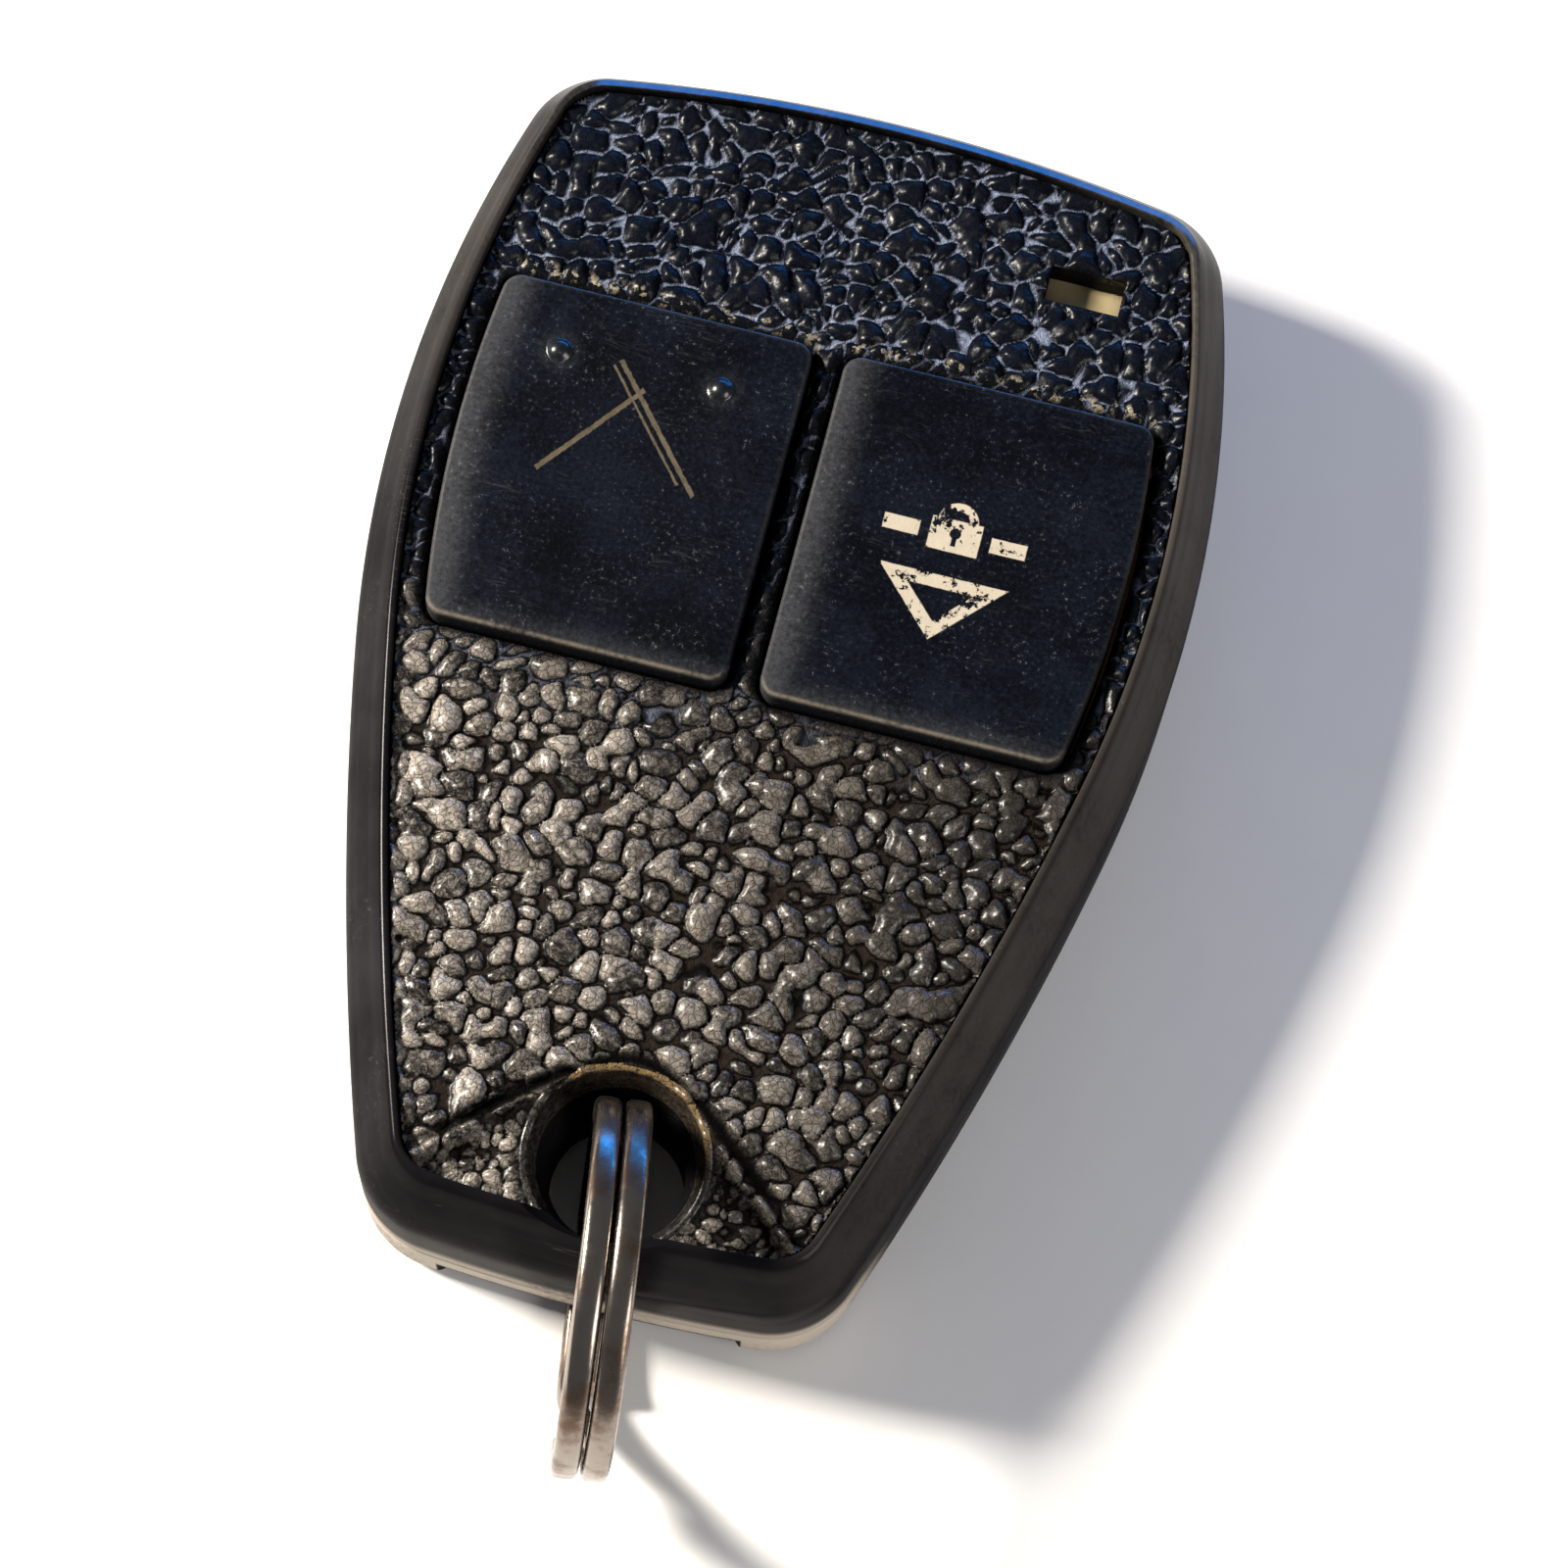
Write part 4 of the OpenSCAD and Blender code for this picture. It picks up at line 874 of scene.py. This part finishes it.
def scoop_shape(x, y):
    """Depth of the bell-shaped scoop below the face, and distance inside its hyperbolic edge."""
    s = np.clip(SCOOP_Y - y, 0, None)
    half = SCOOP_SPREAD * np.sqrt(s * s + 2 * s * SCOOP_NOSE_R)
    slope = SCOOP_SPREAD ** 2 * (s + SCOOP_NOSE_R) / np.maximum(half, 0.3)
    edge = (half - np.abs(x)) / np.sqrt(1 + slope ** 2)
    ahead = SCOOP_NOSE_R - np.hypot(x, y - SCOOP_Y + SCOOP_NOSE_R)
    inside = np.where(y < SCOOP_Y - 0.8, edge, ahead)
    fall = SCOOP_STEP + (SCOOP_DEPTH - SCOOP_STEP) * (SCOOP_Y - y) / (SCOOP_Y - END_Y)
    return np.clip(fall, 0, None) * smooth(inside, 0.1, 1.1), inside


def panel_edges(points):
    """Room to the panel's nearest edge, the way out of it, which edge it is, and the room to each edge.

    The edges are the rim, the openings of the keys, the lamp window and the eye.
    """
    path, inward = case_path(1600)
    outer, outer_in = inset_from(points, path, inward)
    outer = outer - rim_width(points[:, 1]) - PANEL_GAP
    key, key_in = key_path(-KEY_GAP, 500)
    flip = np.sign(points[:, :1]) + (points[:, :1] == 0)
    mirror = np.hstack([flip, np.ones_like(flip)])
    hole, hole_in = inset_from(points * mirror, key, key_in)
    away = points - LAMP_C
    over = np.abs(away) - LAMP_SIZE / 2
    lamp = np.where((over > 0).any(1), np.linalg.norm(np.clip(over, 0, None), axis=1), over.max(1))
    side = np.where((over[:, :1] > over[:, 1:]), [[1, 0]], [[0, 1]]) * np.sign(away)
    spoke = points - [0, BORE_Y]
    radius = np.linalg.norm(spoke, axis=1)
    rooms = np.array([outer, -hole, lamp, radius - MOUTH_R - LIP_IN])
    ways = np.array([outer_in, -hole_in * mirror, side, spoke / np.maximum(radius, 1e-6)[:, None]])
    kind = rooms.argmin(0)
    pick = np.arange(len(points))
    return rooms[kind, pick], ways[kind, pick], kind, rooms


def panel_height(points, rooms):
    """Height of the panel's face, and the numbers that its finish reads.

    Grain stands on a sunk bed, finer inside the scoop. It grows calm at the edges, along the beaded edge of
    the scoop and in the groove round that, and the edges roll over along quarter circles.
    """
    x, y = points.T
    outer, keys, lamp, bore = rooms
    fall, inside = scoop_shape(x, y)
    inner = smooth(inside, 0.1, 1.0)
    grain, border, lot, seam = pebbles(x, y)
    fine_grain, fine_border, fine_lot, _ = pebbles(FINE_GRAIN * x, FINE_GRAIN * y)
    grain = grain + inner * (0.55 * fine_grain - grain)
    border = border + inner * (0.8 * fine_border - border)
    border = border + 0.08 * (1 - smooth(outer, 0.5, 1.7)) * smooth(-x, 4, 9) * smooth(-y, 2, 6)
    lot = np.where(inner > 0.5, fine_lot, lot)
    tip = smooth(y, SCOOP_Y - 3.8, SCOOP_Y - 1.4)
    bead = smooth(inside, -0.6, -0.25) * (1 - smooth(inside, 0.5, 1.1))
    groove = np.exp(-((inside + 0.34) / 0.34) ** 4) * (1 - 0.6 * smooth(-y, 26, 30))
    calm = smooth(outer, -0.05, 0.14) * smooth(keys, 0.15, 0.9)
    calm = calm * smooth(lamp, 0.0, 0.4) * smooth(bore, 0.25, 0.7)
    calm = calm * (1 - 0.95 * bead * tip)
    calm = calm * (1 - 0.95 * groove)
    z = FACE_Z - GRAIN_SINK + GRAIN_RISE * grain * calm + CALM_RISE * (1 - calm) + BEAD_RISE * bead * tip
    z = z - SCOOP_GROOVE * groove
    z = z - fall - rolled(bore, MOUTH_ROLL)
    z = z + 0.16 * (1 - smooth(outer, 0.0, 0.14)) + 0.1 * (1 - smooth(lamp, 0.05, 0.5))
    z = z - rolled(outer, 0.12) - 0.8 * rolled(keys, 0.6) - rolled(lamp, 0.1)
    lip = smooth(inside, -0.2, 0.15) * (1 - smooth(inside, 0.5, 1.0)) * tip * 0.8
    # Painted highlight: the band just above the keys where pale specks are painted
    above_keys = smooth(y, KEY_TOP_Y - 0.5, KEY_TOP_Y + 0.2)
    fringe = hump(keys - 0.65, 0.3) * above_keys * smooth(outer, 0.5, 2)
    return z, {
        "border": border, "smoothed": 1 - calm, "lip": lip, "tint": lot, "groove": groove, "seam": seam,
        "fringe": fringe,
    }


def eye_lip():
    """Smooth lip of the eye: a closed profile of lip, flared wall and foot, carried along an arc."""
    count = 220
    lip_drop = 0.24
    foot_z = COLLAR_Z + 0.02
    start = np.arcsin((END_Y + RIM_END_W + PANEL_GAP + 0.25 - BORE_Y) / MOUTH_R)
    a = np.linspace(start, np.pi - start, count)
    around = unit(a)
    outside = [0, BORE_Y] + (MOUTH_R + LIP_OUT) * around
    top = panel_height(outside, panel_edges(outside)[3])[0]
    over = np.array([
        [LIP_OUT, -0.25], [0.5, -0.06], [0.4, 0.03], [0.26, 0.05], [0.12, 0.01], [0.03, -0.1],
        [0, -lip_drop],
    ])
    share = np.linspace(0.08, 1, 7)
    flare = MOUTH_R + (COLLAR_R - MOUTH_R) * share
    radii = np.concatenate([MOUTH_R + over[:, 0], flare, [COLLAR_R + 0.5, MOUTH_R + LIP_OUT]])
    heights = np.vstack([
        top + over[:, 1:], top - lip_drop + (foot_z - top + lip_drop) * share[:, None],
        np.full((1, count), foot_z), top[None] - 0.6,
    ])
    rows = len(radii)
    points = raised([0, BORE_Y] + radii[:, None, None] * around, heights).reshape(-1, 3)
    ends = [np.arange(rows) * count, np.arange(rows) * count + count - 1]
    far = smooth(np.sin(a) + 0.3 * np.cos(a), 0.1, 0.6)
    gold = np.concatenate([[0.3, 0.7, 1, 1, 1, 0.9, 0.8], np.full(7, 0.8), [0, 0]])[:, None] * far
    return points, grid_faces(rows, count, close_rows=True), ends, gold.ravel()


def grained_panel():
    """Grained panel: a height field on a fine grid, its border moved onto the true edges, with walls below.

    The walls follow the lone edges of the grid down to the deck, and lean in below the eye's mouth.
    """
    xs = np.arange(-HALF_W, HALF_W, GRID_STEP)
    ys = np.arange(END_Y, TOP_Y, GRID_STEP)
    points = np.stack(np.meshgrid(xs, ys), -1).reshape(-1, 2)
    room, way, kind, _ = panel_edges(points)
    cells = grid_faces(len(ys), len(xs))
    cells = cells[(room[cells] > -0.5 * GRID_STEP).all(1)]
    points = points - np.where(room < 0.35 * GRID_STEP, room, 0)[:, None] * way
    used, cells = np.unique(cells, return_inverse=True)
    cells = cells.reshape(-1, 4)
    points, kind = points[used], kind[used]
    z, stored = panel_height(points, panel_edges(points)[3])

    edges = np.stack([cells, np.roll(cells, -1, 1)], -1).reshape(-1, 2)
    code = np.sort(edges, 1) @ [len(points), 1]
    codes, times = np.unique(code, return_counts=True)
    rim = edges[np.isin(code, codes[times == 1])]
    ring = np.unique(rim)
    levels = 5
    share = np.linspace(0, 1, levels + 1)[1:, None]
    foot = np.where(points[ring, 1] > COLLAR_Y, PANEL_Z, COLLAR_Z)
    spoke = points[ring] - [0, BORE_Y]
    lean = (MOUTH_R - COLLAR_R) * share / np.linalg.norm(spoke, axis=1)
    shrink = np.where(kind[ring] == EYE_EDGE, 1 - lean, 1)
    below = raised([0, BORE_Y] + spoke * shrink[..., None], z[ring] + (foot - z[ring]) * share)
    skin = np.vstack([raised(points, z), below.reshape(-1, 3)])
    base = np.vstack([ring, np.arange(len(points), len(skin)).reshape(levels, -1)])
    a, b = np.searchsorted(ring, rim).T
    walls = np.concatenate([
        np.column_stack([base[k, b], base[k, a], base[k + 1, a], base[k + 1, b]]) for k in range(levels)
    ])

    band, band_quads, band_ends, gold = eye_lip()
    plain = {"border": 0.1, "smoothed": 1, "lip": 0, "tint": 0.3, "groove": 0, "seam": 1, "fringe": 0}
    more = len(skin) - len(points) + len(band)
    stored = {key: np.concatenate([v, np.full(more, plain[key])]) for key, v in stored.items()}
    stored["lip"][len(skin):] = gold
    quads = np.vstack([cells, walls, band_quads + len(skin)])
    ends = [end + len(skin) for end in band_ends]
    mesh = to_mesh("grained_panel_skin", np.vstack([skin, band]), quads, ends, stored)
    tidy(mesh, fill_normal=(0, 0, -1), merge=0.001)
    leather = grained_leather("pebbled_panel")
    piece("grained_panel_skin", mesh, "fob", "grained_panel", leather, hard=75)


def key_cap(name, node, body, side, paint):
    """Key cap: rings of the key's outline, over a rounded edge and a crowned margin to the dished middle.

    The left key is the mirror image of the right one, with two pips that are caps of a sphere.
    """
    count = 480
    edge_r = 0.22
    turn = np.linspace(0, np.pi / 2, 9)
    path, inward = key_path(0, count)
    depth = np.concatenate([np.zeros(4), edge_r * (1 - np.cos(turn)), [0.3, 0.42, 0.56]])
    edge_rows = path[None] + depth[:, None, None] * inward[None]
    shares = np.linspace(1, 0.015, 76)[1:, None, None]
    flat = np.concatenate([edge_rows, KEY_C + (edge_rows[-1] - KEY_C)[None] * shares])
    rows = len(flat)
    wall = np.linspace(KEY_TOP_Z - KEY_BOTTOM_Z, edge_r + 0.4, 4)
    sink = np.concatenate([wall, edge_r * (1 - np.sin(turn))])
    sink = np.concatenate([sink, np.zeros(rows - len(sink))])[:, None]
    x, y = flat[..., 0], flat[..., 1]
    depth = np.clip(inset_from(flat.reshape(-1, 2), path, inward)[0].reshape(rows, count), 0, None)
    crown = 0.08 * (1 - smooth(depth, -1.0, 2.6))
    dish = 0.14 * (1 - smooth(np.linalg.norm(flat - KEY_C, axis=-1), 1.0, 8.8))
    z = KEY_TOP_Z - sink - np.where(sink > edge_r, 0, crown + dish)
    inner = x - KEY_SPLIT / 2
    outer = SIDE_R - KEY_MARGIN - np.linalg.norm(flat - SIDE_C, axis=-1)
    left, right = (inner, outer) if side > 0 else (outer, inner)
    near_y = KEY_TOP_Y - KEY_L
    # Painted light on the left and near margins and a thin line at the right edge, as lit from the left and from
    # the floor; a real dusting rings each pip
    margin_light_and_dust = np.maximum(hump(left, 1.9), 0.6 * hump(y - near_y, 1.4))
    margin_light_and_dust = np.maximum(margin_light_and_dust, 0.2 * hump(right, 0.8))
    on_top = sink < edge_r + 0.05
    gloss = hump(depth - 0.08, 0.12) * on_top * smooth(y, near_y, KEY_TOP_Y - 2)
    wear = hump(depth - 0.12, 0.1) * on_top * (smooth(-y, 0.5, 1.4) + 0.1)
    pips = (-PIP_SPREAD, PIP_SPREAD) if side < 0 else ()
    for spread in pips:
        gap = np.hypot(x - KEY_C[0] - spread, y - PIP_Y)
        dome = np.sqrt(np.clip(PIP_R ** 2 - gap ** 2, 0, None)) - PIP_R + PIP_RISE
        z = z + np.clip(dome, 0, None)
        gloss = np.maximum(gloss, 1 - smooth(gap, PIP_R - 0.1, PIP_R + 0.05))
        margin_light_and_dust = np.maximum(margin_light_and_dust, 0.4 * hump(gap - 0.9, 0.5))
    mesh = capped_shell(name, raised(flat * [side, 1], z), edge=margin_light_and_dust, wear=wear, gloss=gloss)
    piece(name, mesh, body, node, paint, hard=60)


def split_ring():
    """Split ring: a rounded wire section carried round two turns, with one crossing between them."""
    start = CROSS_ANGLE / 2 + np.radians(1)
    a = np.linspace(start, 4 * np.pi - start, 560)
    across = (WIRE + TURN_GAP) * (smooth((a - 2 * np.pi) / CROSS_ANGLE + 0.5) - 0.5)
    t = np.linspace(0, 2 * np.pi, 28, endpoint=False)
    square = 2 / 3.4
    section = WIRE / 2 * np.stack([np.sign(f) * np.abs(f) ** square for f in (np.cos(t), np.sin(t))], -1)
    r = (RING_OD - WIRE) / 2 + section[None, :, 0]
    turn = (a + CROSS_PLACE)[:, None]
    beside = across[:, None] + section[None, :, 1]
    above = r * np.sin(turn)
    x = beside * np.cos(RING_LEAN) + above * np.sin(RING_LEAN)
    y = -RING_REACH - r * np.cos(turn)
    z = RING_Z + above * np.cos(RING_LEAN) - beside * np.sin(RING_LEAN)
    c, s = np.cos(RING_REST), np.sin(RING_REST)
    mesh = capped_shell("split_ring_wire", np.stack([x * c - y * s, BORE_Y + x * s + y * c, z], -1))
    plate = nickel("nickel_plate")
    piece("split_ring_wire", mesh, "key_ring", "split_ring", plate, hard=50)


def lamp_lens():
    """Lamp: rows of one superellipse, which make a flanged block with rounded corners and a domed top."""
    size = (lens_high - lens_low)[:2]
    body = size - 0.24
    height = lens_high[2] - lens_low[2]
    t = np.linspace(0, 2 * np.pi, 72, endpoint=False)
    shape = np.stack([np.sign(f) * np.abs(f) ** 0.12 for f in (np.cos(t), np.sin(t))], -1)
    profile = [
        (size, 0), (size, 0.65), (size * 0.98, 0.8), (body, 0.82), (body, height - 0.2),
        (body * 0.985, height - 0.08), (body * 0.94, height - 0.02), (body * 0.5, height),
        (body * 0.02, height),
    ]
    rows = np.stack([raised(LAMP_C + wide / 2 * shape, lens_low[2] + z) for wide, z in profile])
    mesh = capped_shell("lamp_block", rows)
    piece("lamp_block", mesh, "fob", "led_lens", lamp_epoxy("lamp_epoxy"))


def screw():
    """Case screw: rings of a domed head with a cross recess, then of its shank, about one upright axis."""
    count = 120
    length = screw_high[2] - screw_low[2]
    shaft = np.array([[HEAD_R, HEAD_T], [SHANK_R, HEAD_T], [SHANK_R, length - 0.6], [0.1, length]])
    around = unit(np.linspace(0, 2 * np.pi, count, endpoint=False))
    radii = np.concatenate([np.linspace(0.03, HEAD_R - 0.2, 26), [HEAD_R - 0.06, HEAD_R]])
    reach = np.abs(radii[:, None, None] * around)
    recess = (1 - smooth(reach.min(-1), 0.26, 0.38)) * (1 - smooth(reach.max(-1), 0.95, 1.2))
    head = screw_low[2] + 0.22 * (radii[:, None] / HEAD_R) ** 2.5 + 0.55 * recess
    heights = np.vstack([head, np.repeat(screw_low[2] + shaft[:, 1:], count, 1)])
    flat = [0, SCREW_Y] + np.concatenate([radii, shaft[:, 0]])[:, None, None] * around
    mesh = capped_shell("case_screw_head", raised(flat, heights))
    steel = inner_plain("screw_zinc", (0.30, 0.30, 0.30), (0.52, 0.52, 0.50), 0.28, 1.0, 0.5)
    piece("case_screw_head", mesh, "fob", "case_screw", steel)


upper_case()
rear_cover()
grained_panel()
key_cap("unlock_key_cap", "unlock_button", "unlock_key", -1, key_plastic("unlock_key_plastic", unlock_mark))
key_cap("lock_key_cap", "lock_button", "lock_key", 1, key_plastic("lock_key_plastic", lock_mark))
split_ring()
lamp_lens()
screw()

# Inner pieces keep their solids and get a finish by material slot
INNER = {
    "tinned_metal": ((0.42, 0.42, 0.41), (0.62, 0.62, 0.60), 0.3, 1.0),
    "board_green": ((0.010, 0.055, 0.022), (0.022, 0.095, 0.04), 0.38, 0.0),
    "copper": ((0.50, 0.22, 0.11), (0.68, 0.34, 0.19), 0.3, 1.0),
    "switch_black": ((0.012, 0.012, 0.012), (0.028, 0.028, 0.027), 0.5, 0.0),
    "lid_steel": ((0.45, 0.45, 0.44), (0.64, 0.64, 0.62), 0.3, 1.0),
    "plunger_grey": ((0.045, 0.045, 0.045), (0.08, 0.08, 0.078), 0.5, 0.0),
    "cell_steel": ((0.50, 0.50, 0.48), (0.66, 0.66, 0.63), 0.24, 1.0),
    "contact_brass": ((0.48, 0.37, 0.17), (0.66, 0.54, 0.28), 0.3, 1.0),
    "chip_black": ((0.010, 0.010, 0.011), (0.024, 0.024, 0.026), 0.55, 0.0),
    "can_steel": ((0.42, 0.43, 0.45), (0.60, 0.61, 0.63), 0.28, 1.0),
    "trimmer_cream": ((0.46, 0.40, 0.28), (0.60, 0.54, 0.41), 0.5, 0.0),
    "capacitor_tan": ((0.28, 0.18, 0.09), (0.40, 0.28, 0.16), 0.5, 0.0),
}
slot_of = {part["node"]: part["material_slot"] for part in frame["record"]["subparts"]}
finishes = {slot: inner_plain(slot + "_finish", *numbers) for slot, numbers in INNER.items()}
for node, thing in frame["nodes"].items():
    if slot_of[node] in finishes:
        thing.data.materials.clear()
        thing.data.materials.append(finishes[slot_of[node]].material)

# Snap domes get meshes of their own; the share of each dome's height left under its pressed plunger is worked out
# but not applied
DOME_JOINTS = {"left_switch_dome": "unlock_plunger_press", "right_switch_dome": "lock_plunger_press"}
for node, joint in DOME_JOINTS.items():
    dome_low, dome_high = node_box(node)
    travel = next(j["range_m"][1] for j in frame["joints"] if j["name"] == joint) / MM
    keep = 1 - travel / (dome_high - dome_low)[2]
    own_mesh(frame["nodes"][node])


# Stage: a pale floor, soft lights and the camera

def floor():
    """Pale floor of fine even grain, a hair below the fob's rest face."""
    reach, drop = 2000, 0.05
    corners = reach * np.array([[-1, -1], [1, -1], [1, 1], [-1, 1]])
    mesh = to_mesh("floor", raised(corners, -drop), np.arange(4)[None])
    thing = placed("floor", mesh)
    paint = Paint("pale_floor")
    paint.finish(paint.mix(paint.noise(3, 3), (0.80, 0.80, 0.80), (0.83, 0.83, 0.83)), 0.8)
    mesh.materials.append(paint.material)


def soft_light(name, place, target, size, power, colour):
    """Rectangular soft light at a place, turned to a target, all in millimetres."""
    data = bpy.data.lights.new(name, "AREA")
    data.shape = "RECTANGLE"
    data.size, data.size_y = (s * MM for s in size)
    data.energy = power
    data.color = colour
    thing = placed(name, data)
    thing.location = Vector(place) * MM
    away = Vector(target) - Vector(place)
    thing.rotation_euler = away.to_track_quat("-Z", "Y").to_euler()


def camera():
    """Camera of the photograph: tilted from upright, turned about the fob and rolled."""
    aim = Vector((3.40, -5.92, 12.0))
    distance = 250
    tilt, turn, roll = np.radians([17.66, 9.5, 14.85])
    back = Vector((np.sin(tilt) * np.sin(turn), -np.sin(tilt) * np.cos(turn), np.cos(tilt)))
    right = (-back).cross(Vector((0, 1, 0))).normalized()
    up = right.cross(-back)
    axes = (
        np.cos(roll) * right + np.sin(roll) * up, -np.sin(roll) * right + np.cos(roll) * up, back
    )
    data = bpy.data.cameras.new("camera")
    data.lens = 112.5
    data.sensor_width = 36
    data.clip_start = 0.01
    thing = placed("camera", data)
    turned_axes = Matrix([list(a) for a in axes]).transposed().to_4x4()
    thing.matrix_world = Matrix.Translation((aim + distance * back) * MM) @ turned_axes
    bpy.context.scene.camera = thing


floor()
soft_light("key_light", (-300, 20, 235), (0, -8, 10), (80, 80), 4.4, (1.0, 0.93, 0.83))
soft_light("sky_card", (30, 300, 55), (0, 20, 12), (300, 65), 0.52, (0.0, 0.26, 1.0))
soft_light("side_fill", (380, -160, 220), (0, 0, 0), (240, 240), 1.2, (1.0, 0.95, 0.9))
world = bpy.data.worlds.new("studio")
world.use_nodes = True
sky = world.node_tree.nodes["Background"].inputs
sky["Color"].default_value = (0.82, 0.84, 0.88, 1)
sky["Strength"].default_value = 0.2
bpy.context.scene.world = world
bpy.context.scene.view_settings.view_transform = "Standard"
camera()

bpy.context.view_layer.update()
